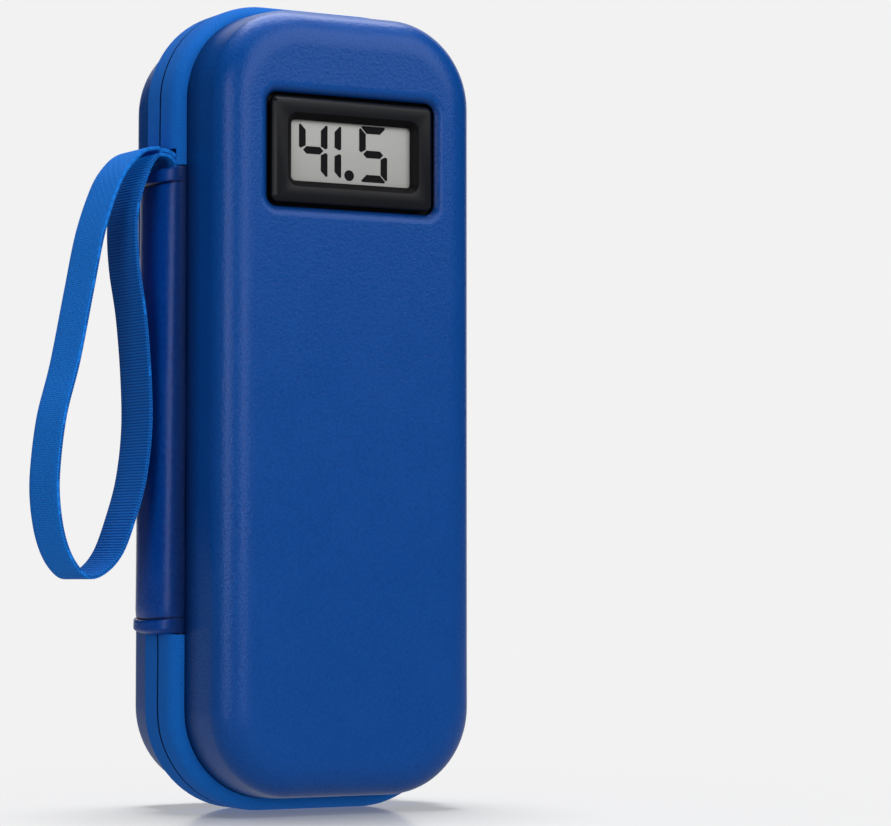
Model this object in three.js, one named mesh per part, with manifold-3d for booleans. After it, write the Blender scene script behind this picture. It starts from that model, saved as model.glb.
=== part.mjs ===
// Insulin cooling case: two moulded half shells that open like a book on a sewn spine,
// closed by a zip round the other three sides, with a thermometer set into the front.
// Millimetres. The case stands upright: X to the right, Y to the back, Z up,
// with the origin under the middle of the belt.

import * as THREE from "three";
import { mergeVertices } from "three/addons/utils/BufferGeometryUtils.js";
import Module from "manifold-3d";

const wasm = await Module();
wasm.setup();

// Case
const caseWidth = 85;
const caseHeight = 216;
const caseDepth = 60.4;
const cornerRadius = 24.5;
const clearance = 0.3;

// Moulded shells
const shellWall = 4;
const shellDraft = 1;
const edgeWidth = 10;
const edgeDrop = 7.5;
const liningThickness = 1;

// Belt that carries the zip and the spine between the shells
const beltRise = 3.75;
const beltHalf = 9.3;
const beltFlat = 5;
const flangeEdge = 3.2;

// Zip
const tapeThickness = 1;
const seamGap = 0.9;
const coilWidth = 2.2;
const coilHeight = 1.5;
const sliderLength = 12;
const sliderWidth = 7.2;
const sliderTail = 4.6;
const sliderNose = 1.8;
const wingThickness = 1;
const innerWingWidth = 5.6;
const innerWingTail = 3.6;
const postThickness = 0.3;
const postLength = 3;
const postSetback = 0.5;
const bridgeLength = 5.4;
const bridgeWidth = 2;
const bridgeThickness = 0.7;
const bridgeSetback = 3;
const noseGap = 1.2;
const pullLength = 15;
const pullWidth = 5.6;
const pullWaist = 4.2;
const pullCorner = 1;
const pullThickness = 1;
const pullTurnRoom = 0.35;
const pullSlotLength = 4.2;
const pullSlotWidth = 2.8;
const pullBar = 1;

// Spine and wrist strap
const spineBottom = 47.7;
const spineTopDrop = 45;
const spineThickness = 1.2;
const spineCrown = 0.6;
const hemHeight = 4;
const hemRise = 0.8;
const strapWidth = 15;
const strapThickness = 1.1;
const strapTail = 12;
const strapBend = 4.4;
const strapBendDrop = 1;
const strapTurn = 6;
const strapExit = 4.6;

// Thermometer
const displayDrop = 41.6;
const bezelWidth = 48;
const bezelHeight = 28;
const bezelThickness = 2.1;
const bezelCorner = 1.8;
const bezelBevel = 1;
const bezelProud = 0.4;
const windowSide = 4.5;
const windowEnd = 4.4;
const windowCorner = 1.2;
const windowFlare = 1.7;
const windowFlareDepth = 1.5;
const recessMargin = 4;
const recessStep = 0.8;
const bezelFlange = 1.5;
const bodyDepth = 13;
const bodyWall = 1.2;
const clipLength = 8;
const clipRise = 1.1;
const clipDrop = 3;
const lcdMargin = 1.8;
const lcdThickness = 2;
const stripWidth = 2;
const stripHeight = 2.4;
const boardThickness = 1.2;
const contactThickness = 0.4;
const contactWidth = 6;
const contactSlit = 1.2;
const cellDiameter = 11.6;
const cellThickness = 5.4;
const cellSpacing = 12.4;
const cellChamfer = 0.4;
const coverThickness = 1.4;
const doorThickness = 1.2;
const doorHeight = 15;
const doorOverlap = 1.2;
const doorRibHeight = 0.8;
const doorRibRise = 0.5;
const doorRibPitch = 1.6;
const railWidth = 1.2;
const railLip = 1;
const buttonDiameter = 2.6;
const buttonTravel = 0.7;
const buttonProud = 1;
const buttonFlange = 0.8;
const buttonMargin = 5.1;
const stemDiameter = 1.6;
const beadDiameter = 3;
const beadLift = 1;
const legDiameter = 0.6;
const ventCount = 3;
const ventLength = 9;
const ventWidth = 0.9;
const ventPitch = 1.6;

// Gel packs and the elastic bands that hold them
const packWidth = 51;
const packThickness = 11;
const packEdge = 3.5;
const packRim = 4.5;
const packDish = 2.4;
const packDishReach = 16;
const lidPackBottom = 13;
const packGap = 5.4;
const bandHeight = 20;
const bandThickness = 0.9;
const bandTab = 8;
const bandInset = 22;

// Fineness of the curves
const cornerSteps = 8;
const edgeSteps = 6;
const innerSteps = 3;
const beltSteps = 5;
const frameSteps = 4;
const packSteps = 6;
const roundSteps = 24;
const strapSteps = 72;

// Sizes that follow from those above
const halfWidth = caseWidth / 2;
const face = caseDepth / 2;
const meetingHeight = caseHeight / 2;
const spineTop = caseHeight - spineTopDrop;
const displayHeight = caseHeight - displayDrop;
const bodyWidth = bezelWidth - 2 * bezelFlange;
const bodyHeight = bezelHeight - 2 * bezelFlange;
const windowWidth = bodyWidth - 2 * windowSide;
const windowHeight = bodyHeight - 2 * windowEnd;
const buttonPlace = bodyWidth / 2 - buttonMargin;
const beadPlace = -buttonPlace;
const packHeight = displayHeight - bezelHeight / 2 - packGap - lidPackBottom;
const skinRoom = spineThickness + clearance;
const shellInset = beltRise + shellDraft;
const liningFace = face - shellWall - clearance - liningThickness;
const liningInset = beltRise + shellWall + clearance + liningThickness;

const colours = {
  shell: 0x0f468d,
  spine: 0x031e61,
  tape: 0x1053a2,
  coil: 0x12417f,
  strap: 0x1769bd,
  metal: 0x2c3038,
  foil: 0xb9bec4,
  bezel: 0x23252d,
  glass: 0xa5a5a0,
  rubber: 0xc9c4b8,
  board: 0x1f6b3a,
  steel: 0xbfc3c8,
  gel: 0x005cc0,
  elastic: 0x16181d,
  bead: 0x111214,
};

function material(colour, roughness, metalness = 0) {
  return new THREE.MeshStandardMaterial({ color: colours[colour], roughness, metalness });
}

function part(group, name, geometry, look) {
  const mesh = new THREE.Mesh(geometry, look);
  mesh.name = name;
  group.add(mesh);
  return mesh;
}

// Triangles that fill a flat ring, all wound the way the ring runs
function fillRing(ring) {
  const normal = new THREE.Vector3();
  ring.forEach((point, i) => {
    const next = ring[(i + 1) % ring.length];
    normal.add(new THREE.Vector3().crossVectors(point, next));
  });
  normal.normalize();
  const across = new THREE.Vector3().subVectors(ring[1], ring[0]).normalize();
  const up = new THREE.Vector3().crossVectors(normal, across);
  const flat = ring.map((point) => new THREE.Vector2(point.dot(across), point.dot(up)));
  const turn = (a, b, c) => flat[b].clone().sub(flat[a]).cross(flat[c].clone().sub(flat[a]));
  const triangles = THREE.ShapeUtils.triangulateShape(flat, []);
  return triangles.map(([a, b, c]) => (turn(a, b, c) > 0 ? [a, b, c] : [a, c, b]));
}

// Turns a closed skin's faces outward
function facingOut(geometry) {
  const position = geometry.attributes.position;
  const index = geometry.index.array;
  const corner = (i) => new THREE.Vector3().fromBufferAttribute(position, index[i]);
  let volume = 0;
  for (let i = 0; i < index.length; i += 3) {
    volume += corner(i).dot(corner(i + 1).cross(corner(i + 2)));
  }
  if (volume < 0) {
    for (let i = 0; i < index.length; i += 3) {
      [index[i], index[i + 1]] = [index[i + 1], index[i]];
    }
  }
  return geometry;
}

// Closed skin through rings of equally many points, with the first and last ring filled
function loft(rings) {
  const count = rings[0].length;
  const index = [];
  for (let r = 0; r + 1 < rings.length; r++) {
    for (let i = 0; i < count; i++) {
      const a = r * count + i;
      const b = r * count + ((i + 1) % count);
      index.push(a, b, a + count, b, b + count, a + count);
    }
  }
  const last = (rings.length - 1) * count;
  fillRing(rings[0]).forEach(([a, b, c]) => index.push(a, c, b));
  fillRing(rings.at(-1)).forEach(([a, b, c]) => index.push(last + a, last + b, last + c));
  const geometry = new THREE.BufferGeometry().setFromPoints(rings.flat());
  geometry.setIndex(index);
  return facingOut(geometry);
}

// Stations round a rounded rectangle, anticlockwise from a start angle, each with its outward normal
function outline(width, bottom, top, radius, { from = -90, steps = cornerSteps } = {}) {
  const stations = [];
  const middle = (bottom + top) / 2;
  const reachX = width / 2 - radius;
  const reachY = (top - bottom) / 2 - radius;
  for (let corner = 0; corner < 4; corner++) {
    const diagonal = THREE.MathUtils.degToRad(from + 90 * corner + 45);
    const centreX = Math.sign(Math.cos(diagonal)) * reachX;
    const centreY = middle + Math.sign(Math.sin(diagonal)) * reachY;
    for (let i = 0; i <= steps; i++) {
      const angle = THREE.MathUtils.degToRad(from + 90 * (corner + i / steps));
      const nx = Math.cos(angle);
      const ny = Math.sin(angle);
      stations.push({ x: centreX + radius * nx, y: centreY + radius * ny, nx, ny });
    }
  }
  return stations;
}

// A section's [offset, depth] point at a station, with the offset measured along the normal
function place({ x, y, nx, ny }, [offset, depth]) {
  return new THREE.Vector3(x + nx * offset, y + ny * offset, depth);
}

// Closed section carried along an open row of stations
function sweep(stations, section) {
  return loft(stations.map((station) => section.map((point) => place(station, point))));
}

// Profile carried round a closed row of stations, filled at both of its ends
function tray(stations, profile) {
  return loft(profile.map((point) => stations.map((station) => place(station, point))));
}

// Quarter of an ellipse as [offset, depth] points
function bend([offset, depth], across, along, from, to, steps) {
  return Array.from({ length: steps + 1 }, (_, i) => {
    const angle = THREE.MathUtils.degToRad(from + ((to - from) * i) / steps);
    return [offset + across * Math.cos(angle), depth + along * Math.sin(angle)];
  });
}

// Line moved sideways by a distance, to the left of the way it runs
function offsetLine(points, distance) {
  return points.map(([x, y], i) => {
    const [x0, y0] = points[Math.max(i - 1, 0)];
    const [x1, y1] = points[Math.min(i + 1, points.length - 1)];
    const length = Math.hypot(x1 - x0, y1 - y0);
    return [x - (distance * (y1 - y0)) / length, y + (distance * (x1 - x0)) / length];
  });
}

function mirrored(points) {
  return points.map(([offset, depth]) => [offset, -depth]);
}

function solid(geometry) {
  const bare = geometry.clone();
  bare.deleteAttribute("normal");
  bare.deleteAttribute("uv");
  const merged = mergeVertices(bare);
  const vertProperties = new Float32Array(merged.attributes.position.array);
  const triVerts = new Uint32Array(merged.index.array);
  return new wasm.Manifold(new wasm.Mesh({ numProp: 3, vertProperties, triVerts }));
}

function skin(manifold) {
  const { vertProperties, triVerts } = manifold.getMesh();
  const geometry = new THREE.BufferGeometry();
  geometry.setAttribute("position", new THREE.BufferAttribute(vertProperties, 3));
  geometry.setIndex(new THREE.BufferAttribute(triVerts, 1));
  return geometry;
}

function cut(body, ...tools) {
  return skin(tools.reduce((rest, tool) => rest.subtract(solid(tool)), solid(body)));
}

function join(...bodies) {
  return skin(bodies.map(solid).reduce((whole, body) => whole.add(body)));
}

function box(width, height, depth, [x, y, z]) {
  return new THREE.BoxGeometry(width, height, depth).translate(x, y, z);
}

function disc(diameter, length, [x, y, z]) {
  const cylinder = new THREE.CylinderGeometry(diameter / 2, diameter / 2, length, roundSteps);
  return cylinder.rotateX(Math.PI / 2).translate(x, y, z);
}

// Shape through points, taken as a closed line
function closedShape(points) {
  return new THREE.Shape(points.map(([x, y]) => new THREE.Vector2(x, y)));
}

function extrude(shape, depth, curveSegments = roundSteps / 2) {
  return new THREE.ExtrudeGeometry(shape, { depth, bevelEnabled: false, curveSegments });
}

// Rebuilds a mirrored skin with its faces outward
function fromFaces(geometry) {
  const bare = geometry.clone();
  bare.deleteAttribute("normal");
  bare.deleteAttribute("uv");
  return facingOut(mergeVertices(bare));
}

// Stands a profile drawn across the case, X by depth, upright along a length of its height
function standing(shape, length, top) {
  const turn = new THREE.Matrix4().set(1, 0, 0, 0, 0, 0, -1, 0, 0, 1, 0, 0, 0, 0, 0, 1);
  return extrude(shape, length).applyMatrix4(turn).translate(0, top, 0);
}

// Profile on one side of the thermometer, at the middle of its height
function sideProfile(shape, length, side) {
  const right = standing(shape, length, displayHeight + length / 2);
  return fromFaces(right.applyMatrix4(new THREE.Matrix4().makeScale(side, 1, 1)));
}

// Belt's line from the flat by the seam to the crease beside the shell, at a depth under its outer face
function beltLine(crown, depth = 0) {
  const drop = beltRise - clearance + crown;
  return bend([crown - drop, beltFlat], drop - depth, beltHalf - beltFlat - depth, 0, 90, beltSteps);
}

const beltOutline = outline(caseWidth, 0, caseHeight, cornerRadius);

function shellProfile() {
  const innerWidth = edgeWidth - shellWall;
  const innerDrop = edgeDrop - shellWall;
  const edgeCentre = [-shellInset - edgeWidth, face - edgeDrop];
  return [
    ...bend(edgeCentre, edgeWidth, edgeDrop, 90, 0, edgeSteps),
    [-beltRise, beltHalf - skinRoom],
    ...beltLine(0, skinRoom).reverse(),
    [-skinRoom, flangeEdge],
    [-beltRise - shellWall, flangeEdge],
    ...bend(edgeCentre, innerWidth, innerDrop, 0, 90, innerSteps),
  ];
}

// Room in the flanges behind the spine's top end, where the strap's tail is sewn in
function tailRoom() {
  const depth = strapThickness * 2 + skinRoom + clearance;
  const bottom = spineTop - strapTail - clearance;
  const top = spineTop + strapExit + clearance;
  const width = strapWidth + 2 * clearance;
  return box(depth, top - bottom, width, [depth / 2 - halfWidth, (bottom + top) / 2, 0]);
}

function rearShell() {
  return cut(tray(beltOutline, mirrored(shellProfile())), tailRoom());
}

// Soft step pressed into the front, in which the thermometer's bezel lies
function displayRecess() {
  const floor = face + bezelProud - bezelThickness - clearance;
  const depth = face - floor;
  const margin = recessMargin - recessStep;
  const stations = frameOutline(bezelWidth, bezelHeight, bezelCorner, recessStep);
  const slope = Array.from({ length: frameSteps + 1 }, (_, i) => {
    const share = i / frameSteps;
    const rise = (1 - Math.cos(Math.PI * share)) / 2;
    return [margin * share, floor + depth * rise];
  });
  return tray(stations, [...slope, [margin, face + depth]]);
}

// Rounded rectangle about the thermometer's centre, grown on every side
function frameOutline(width, height, corner, grow = 0) {
  const bottom = displayHeight - height / 2 - grow;
  const top = displayHeight + height / 2 + grow;
  return outline(width + 2 * grow, bottom, top, corner + grow, { steps: frameSteps });
}

function frameBlock(width, height, corner, front, back) {
  return tray(frameOutline(width, height, corner), [[0, front], [0, back]]);
}

function frontShell() {
  const width = bodyWidth + 2 * clearance;
  const height = bodyHeight + 2 * clearance;
  const hole = frameBlock(width, height, bezelCorner, bezelFront, 0);
  return cut(tray(beltOutline, shellProfile()), tailRoom(), displayRecess(), hole);
}

function liningProfile() {
  const outer = shellWall + clearance;
  const layer = (inset) => {
    const width = edgeWidth - inset;
    const drop = Math.max(edgeDrop - inset, clearance);
    const centre = [-shellInset - inset - width, face - inset - drop];
    return [[-beltRise - inset, flangeEdge], ...bend(centre, width, drop, 0, 90, innerSteps)];
  };
  return [...layer(outer).reverse(), ...layer(outer + liningThickness)];
}

function frontLining() {
  const width = bezelWidth + 2 * clearance;
  const height = bodyHeight + 4 * clearance;
  return cut(tray(beltOutline, liningProfile()), frameBlock(width, height, bezelCorner, face, 0));
}

// Zip stations from the spine's foot round the bottom, right and top, down to a height by the strap
function zipStations(endHeight) {
  const stations = outline(caseWidth, 0, caseHeight, cornerRadius, { from: 180 });
  const start = { x: -halfWidth, y: spineBottom - clearance, nx: -1, ny: 0 };
  const end = { x: -halfWidth, y: endHeight, nx: -1, ny: 0 };
  return [start, ...stations, end];
}

const strapTop = spineTop + strapExit + 2 * clearance;

// Tape down to the spine's top hem, with a notch in its edge for the strap
function zipTape(section) {
  const reach = 4 * tapeThickness;
  const height = strapTop - spineTop;
  const width = strapWidth + 4 * clearance;
  const notch = box(reach, height, width, [-halfWidth, spineTop + height / 2, 0]);
  return cut(sweep(zipStations(spineTop + clearance), section), notch);
}

function tapeSection() {
  const edge = seamGap / 2;
  return [[0, edge], ...beltLine(0), ...beltLine(0, tapeThickness).reverse(), [-tapeThickness, edge]];
}

// Rounded bead of the coil under the tape's edge
function coilSection() {
  const top = -tapeThickness - clearance;
  const near = seamGap / 2;
  const chamfer = coilHeight / 4;
  return [
    [top, near + chamfer],
    [top, near + coilWidth - chamfer],
    [top - chamfer, near + coilWidth],
    [top - coilHeight + chamfer, near + coilWidth],
    [top - coilHeight, near + coilWidth - chamfer],
    [top - coilHeight, near + chamfer],
    [top - coilHeight + chamfer, near],
    [top - chamfer, near],
  ];
}

// Slider with its nose at the origin and its tail along +Y; X is out from the belt
function sliderBody() {
  const wing = wingShape(sliderWidth, sliderTail);
  const outerWing = flatOn(wing, wingThickness, clearance);
  const innerTop = -tapeThickness - coilHeight - 2 * clearance;
  const innerShape = wingShape(innerWingWidth, innerWingTail);
  const innerWing = flatOn(innerShape, wingThickness, innerTop - wingThickness);
  const postHeight = clearance - innerTop + wingThickness;
  const postMiddle = innerTop + (clearance - innerTop) / 2;
  const post = box(postHeight, postLength, postThickness, [postMiddle, postLength / 2 + postSetback, 0]);
  return join(outerWing, innerWing, post, sliderBridge());
}

// Wing's outline, wide at the nose and drawn in to the tail
function wingShape(width, tail) {
  const half = width / 2;
  const middle = sliderLength / 2;
  const shape = new THREE.Shape();
  shape.moveTo(-half, sliderNose);
  shape.quadraticCurveTo(-half, 0, -half / 2, 0);
  shape.lineTo(half / 2, 0);
  shape.quadraticCurveTo(half, 0, half, sliderNose);
  shape.bezierCurveTo(half, middle, tail / 2, middle, tail / 2, sliderLength);
  shape.lineTo(-tail / 2, sliderLength);
  shape.bezierCurveTo(-tail / 2, middle, -half, middle, -half, sliderNose);
  return shape;
}

// Lays a flat outline on the belt, with its thickness outward from the given offset
function flatOn(shape, thickness, offset) {
  return extrude(shape, thickness, edgeSteps).rotateY(Math.PI / 2).translate(offset, 0, 0);
}

const wingTop = clearance + wingThickness;
const pullPivot = wingTop + pullThickness / 2 + pullTurnRoom;
const bridgeAt = sliderLength - bridgeSetback;

// Arch over the pull's cross bar
function sliderBridge() {
  const under = pullPivot + pullThickness / 2 + pullTurnRoom - wingTop;
  const top = under + bridgeThickness;
  const half = bridgeLength / 2;
  const arch = new THREE.Shape();
  arch.moveTo(-bridgeThickness / 2, -half);
  arch.lineTo(under, -half);
  arch.quadraticCurveTo(top, -half, top, -half + bridgeThickness);
  arch.lineTo(top, half - bridgeThickness);
  arch.quadraticCurveTo(top, half, under, half);
  arch.lineTo(-bridgeThickness / 2, half);
  const gap = new THREE.Path();
  gap.moveTo(0, bridgeThickness - half);
  gap.lineTo(0, half - bridgeThickness);
  gap.lineTo(under, half - bridgeThickness);
  gap.lineTo(under, bridgeThickness - half);
  arch.holes.push(gap);
  return extrude(arch, bridgeWidth).translate(wingTop, bridgeAt, -bridgeWidth / 2);
}

// Pull tab hanging down from the cross bar at the origin
function pullTab() {
  const half = pullWidth / 2;
  const top = pullBar / 2;
  const shape = new THREE.Shape();
  shape.moveTo(-half + pullCorner, top);
  shape.lineTo(half - pullCorner, top);
  shape.quadraticCurveTo(half, top, half, top - pullCorner);
  shape.lineTo(pullWaist / 2, -pullLength / 2);
  shape.absarc(0, -pullLength + half, half, 0, Math.PI, true);
  shape.lineTo(-pullWaist / 2, -pullLength / 2);
  shape.lineTo(-half, top - pullCorner);
  shape.quadraticCurveTo(-half, top, -half + pullCorner, top);
  const slot = new THREE.Path();
  slot.moveTo(-pullSlotWidth / 2, -pullBar / 2);
  slot.lineTo(-pullSlotWidth / 2, -pullSlotLength);
  slot.lineTo(pullSlotWidth / 2, -pullSlotLength);
  slot.lineTo(pullSlotWidth / 2, -pullBar / 2);
  shape.holes.push(slot);
  const tab = extrude(shape, pullThickness, edgeSteps);
  return tab.rotateY(Math.PI / 2).translate(-pullThickness / 2, 0, 0);
}

// Skin of the spine across both halves, raised by a rise over the strip
function spineSection(rise) {
  const whole = (line) => [...mirrored(line).reverse(), ...line];
  const inner = whole(beltLine(spineCrown, spineThickness)).reverse();
  return [...whole(beltLine(spineCrown + rise)), ...inner];
}

function spineStations(bottom, top) {
  return [bottom, top].map((y) => ({ x: -halfWidth, y, nx: -1, ny: 0 }));
}

function spineStrip() {
  const bottom = spineBottom + hemHeight + clearance;
  const top = spineTop - hemHeight - clearance;
  return sweep(spineStations(bottom, top), spineSection(0));
}

function spineHem(bottom) {
  return sweep(spineStations(bottom, bottom + hemHeight), spineSection(hemRise));
}

// Fabric behind the spine, between the edges of the two flanges
function spineLining() {
  const depth = spineThickness;
  const x = -halfWidth - spineCrown + spineThickness + clearance + depth / 2;
  const bottom = spineBottom + clearance;
  const top = spineTop - strapTail - clearance;
  const width = 2 * (flangeEdge - 2 * clearance);
  return box(depth, top - bottom, width, [x, (bottom + top) / 2, 0]);
}

// Doubled tail of the strap: sewn in behind the spine's top hem, it bends out over the hem's edge
function strapAnchor() {
  const thickness = 2 * strapThickness;
  const tailOffset = -skinRoom - strapThickness + clearance;
  const bendCentre = [tailOffset + strapBend, spineTop - strapBendDrop];
  const turn = bend(bendCentre, strapBend, strapBend, 180, 90, edgeSteps);
  const line = [[tailOffset, spineTop - strapTail], ...turn];
  const body = webbing(line, thickness).rotateY(Math.PI).translate(-halfWidth, 0, 0);
  return cut(body, spineEnvelope());
}

// Spine with a clearance all round, cut out of the strap's tail
function spineEnvelope() {
  const reach = 2 * hemRise + spineCrown;
  const inner = beltLine(spineCrown, spineThickness + clearance);
  const across = [...mirrored(inner).reverse(), ...inner];
  const outer = [[reach, beltHalf], [reach, -beltHalf]];
  return sweep(spineStations(spineBottom, spineTop + clearance), [...across, ...outer]);
}

// Strap laid along a line, [out from the spine's face, height], with its width along the depth
function webbing(line, thickness) {
  const sides = [offsetLine(line, thickness / 2), offsetLine(line, -thickness / 2).reverse()];
  return extrude(closedShape(sides.flat()), strapWidth).translate(0, 0, -strapWidth / 2);
}

// Middle line of the hanging loop: out from the spine's face, and up from the spine's top
const strapRoute = [
  [3.4, 4.4], [8.6, 3.4], [13.2, -0.6], [16.8, -6.5], [21, -18.3], [24.4, -34], [28.4, -53],
  [32.2, -67], [34, -80.5], [34, -89.5], [32.4, -98.4], [29.4, -105], [25, -108.8], [20, -107.4],
  [15.2, -102.4], [11.4, -93.2], [8.4, -83], [6.8, -70], [7.1, -56], [8.6, -40], [10.8, -27],
  [11.4, -16], [10.2, -8.4], [7.8, -2.2], [5.4, 1.4], [3.6, 2.8],
];

function wristStrap() {
  const points = strapRoute.map(([out, up]) => new THREE.Vector3(out, spineTop + up, 0));
  const spaced = new THREE.CatmullRomCurve3(points).getSpacedPoints(strapSteps);
  return webbing(spaced.map(({ x, y }) => [x, y]), strapThickness);
}

// Thermometer, from its front face backward
const bezelFront = face + bezelProud;
const bezelBack = bezelFront - bezelThickness;
const roomCorner = bezelCorner - bodyWall / 2;
const bodyBack = bezelBack - bodyDepth;
const windowBack = bezelBack - clearance / 2;
const lcdFront = windowBack - clearance;
const boardFront = lcdFront - lcdThickness - stripHeight - 2 * clearance;
const boardBack = boardFront - boardThickness;
const cellFront = boardBack - contactThickness - 2 * clearance;
const coverBack = bodyBack - clearance - coverThickness;
const doorFront = coverBack - clearance;
const doorBack = doorFront - doorThickness;
const cellOpening = [cellSpacing + cellDiameter + 2 * clearance, cellDiameter + 2 * clearance];
const doorWidth = cellOpening[0] + 2 * doorOverlap;

function bezel() {
  const outer = frameOutline(bezelWidth, bezelHeight, bezelCorner);
  const plate = tray(outer, [[0, bezelBack], [0, bezelFront - bezelBevel], [-bezelBevel, bezelFront]]);
  const frame = frameBlock(bodyWidth, bodyHeight, bezelCorner, bezelBack + bezelBevel, bodyBack);
  const inner = [bodyWidth - 2 * bodyWall, bodyHeight - 2 * bodyWall];
  const room = frameBlock(inner[0], inner[1], roomCorner, windowBack, bodyBack - bodyWall);
  const flareEnd = bezelFront - windowFlareDepth;
  const opening = tray(frameOutline(windowWidth, windowHeight, windowCorner), [
    [0, windowBack - bodyWall],
    [0, flareEnd],
    [windowFlare, bezelFront],
    [windowFlare + windowFlareDepth, bezelFront + windowFlareDepth],
  ]);
  return cut(join(plate, frame, clip(1), clip(-1)), room, opening);
}

// Sprung barb on the body's side that catches behind the shell
function clip(side) {
  const seat = face - shellWall - clearance;
  const barb = new THREE.Shape();
  barb.moveTo(bodyWidth / 2 - bodyWall / 2, seat);
  barb.lineTo(bodyWidth / 2 + clipRise, seat);
  barb.lineTo(bodyWidth / 2, seat - clipDrop);
  barb.lineTo(bodyWidth / 2 - bodyWall / 2, seat - clipDrop);
  return sideProfile(barb, clipLength, side);
}

function lcdPanel() {
  const width = windowWidth + 2 * lcdMargin;
  const height = windowHeight + 2 * lcdMargin;
  return box(width, height, lcdThickness, [0, displayHeight, lcdFront - lcdThickness / 2]);
}

function contactStrip(side) {
  const y = displayHeight + side * (windowHeight / 2 + lcdMargin - stripWidth / 2 - clearance);
  const z = lcdFront - lcdThickness - clearance - stripHeight / 2;
  return box(windowWidth, stripWidth, stripHeight, [0, y, z]);
}

function circuitBoard() {
  const width = bodyWidth - 2 * bodyWall - 2 * clearance;
  const height = bodyHeight - 2 * bodyWall - 2 * clearance;
  return frameBlock(width, height, roomCorner - clearance, boardFront, boardBack);
}

function batteryContact() {
  const z = boardBack - clearance - contactThickness / 2;
  const strip = box(cellSpacing + contactWidth, contactWidth, contactThickness, [0, displayHeight, z]);
  const slit = box(cellSpacing, contactSlit, 2 * contactThickness, [0, displayHeight, z]);
  return cut(strip, slit);
}

function buttonCell(side) {
  const x = (side * cellSpacing) / 2;
  const rim = bodyWall / 2;
  const radius = cellDiameter / 2;
  const back = cellFront - cellThickness;
  const profile = [
    [0, back],
    [radius - cellChamfer, back],
    [radius, back + cellChamfer],
    [radius, cellFront - rim],
    [radius - rim, cellFront - rim],
    [radius - rim, cellFront],
    [0, cellFront],
  ].map(([r, z]) => new THREE.Vector2(r, z));
  const cell = new THREE.LatheGeometry(profile, roundSteps);
  return fromFaces(cell.rotateX(Math.PI / 2).translate(x, displayHeight, 0));
}

function backCover() {
  const front = coverBack + coverThickness;
  const middle = coverBack + coverThickness / 2;
  const through = 4 * coverThickness;
  const plate = frameBlock(bodyWidth, bodyHeight, bezelCorner, front, coverBack);
  const [width, height] = [bodyWidth, bodyHeight].map((size) => size - 2 * bodyWall - 2 * clearance);
  const lip = frameBlock(width, height, roomCorner - clearance, front + bodyWall, middle);
  const room = [width - 2 * bodyWall, height - 2 * bodyWall, 2 * bodyWall];
  const lipRoom = box(...room, [0, displayHeight, front + bodyWall]);
  const cells = box(...cellOpening, through, [0, displayHeight, coverBack]);
  const hole = disc(buttonDiameter + 2 * clearance, through, [buttonPlace, displayHeight, coverBack]);
  const body = cut(join(plate, lip), lipRoom, cells, hole, ...vents());
  return join(body, doorRail(1), doorRail(-1));
}

function vents() {
  return Array.from({ length: ventCount }, (_, i) => {
    const x = beadPlace + (i - (ventCount - 1) / 2) * ventPitch;
    return box(ventWidth, ventLength, 4 * coverThickness, [x, displayHeight, coverBack]);
  });
}

// Guide with a lip that keeps the battery door on the cover
function doorRail(side) {
  const reach = doorWidth / 2 + clearance;
  const back = doorBack - clearance - railLip;
  const rail = new THREE.Shape();
  rail.moveTo(reach, coverBack + coverThickness / 2);
  rail.lineTo(reach + railWidth, coverBack + coverThickness / 2);
  rail.lineTo(reach + railWidth, back);
  rail.lineTo(reach - railLip, back);
  rail.lineTo(reach - railLip, back + railLip);
  rail.lineTo(reach, back + railLip);
  return sideProfile(rail, doorHeight, side);
}

// Door with three ribs for the thumb
function batteryDoor() {
  const z = doorFront - doorThickness / 2;
  const plate = box(doorWidth, doorHeight, doorThickness, [0, displayHeight, z]);
  const ribs = [-1, 0, 1].map((i) => {
    const y = displayHeight - doorHeight / 4 + doorRibPitch * i;
    return box(doorWidth / 2, doorRibHeight, doorThickness, [0, y, z - doorRibRise]);
  });
  return join(plate, ...ribs);
}

function unitButton() {
  const outer = coverBack - buttonProud;
  const seat = coverBack + coverThickness + clearance;
  const tip = boardBack - clearance - buttonTravel;
  const round = (diameter, back, front) =>
    disc(diameter, front - back, [buttonPlace, displayHeight, (front + back) / 2]);
  const cap = round(buttonDiameter, outer, seat + clearance);
  const collar = round(buttonDiameter + 2 * buttonFlange, seat, seat + buttonFlange);
  const stem = round(stemDiameter, seat, tip);
  return join(cap, collar, stem);
}

function sensorBead() {
  const middle = bodyBack + beadLift + beadDiameter / 2;
  const length = boardBack - clearance - middle;
  const legs = [-1, 1].map((side) => {
    const y = displayHeight + (side * beadDiameter) / 4;
    return disc(legDiameter, length, [beadPlace, y, middle + length / 2]);
  });
  const bead = new THREE.SphereGeometry(beadDiameter / 2, roundSteps / 2, roundSteps / 3);
  return join(bead.translate(beadPlace, displayHeight, middle), ...legs);
}

// Pill-shaped pack with rounded edges, and a trough inside its rim that the pens lie in
function gelPack(bottom) {
  const stations = outline(packWidth, bottom, bottom + packHeight, packWidth / 2, { steps: packSteps });
  const back = liningFace - clearance;
  const front = back - packThickness;
  const profile = [
    ...bend([-packEdge, back - packEdge], packEdge, packEdge, 90, 0, innerSteps),
    ...bend([-packEdge, front + packEdge], packEdge, packEdge, 0, -90, innerSteps),
    ...bend([-packRim - packDishReach, front], packDishReach, packDish, 0, 90, innerSteps),
  ];
  return tray(stations, profile);
}

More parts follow.
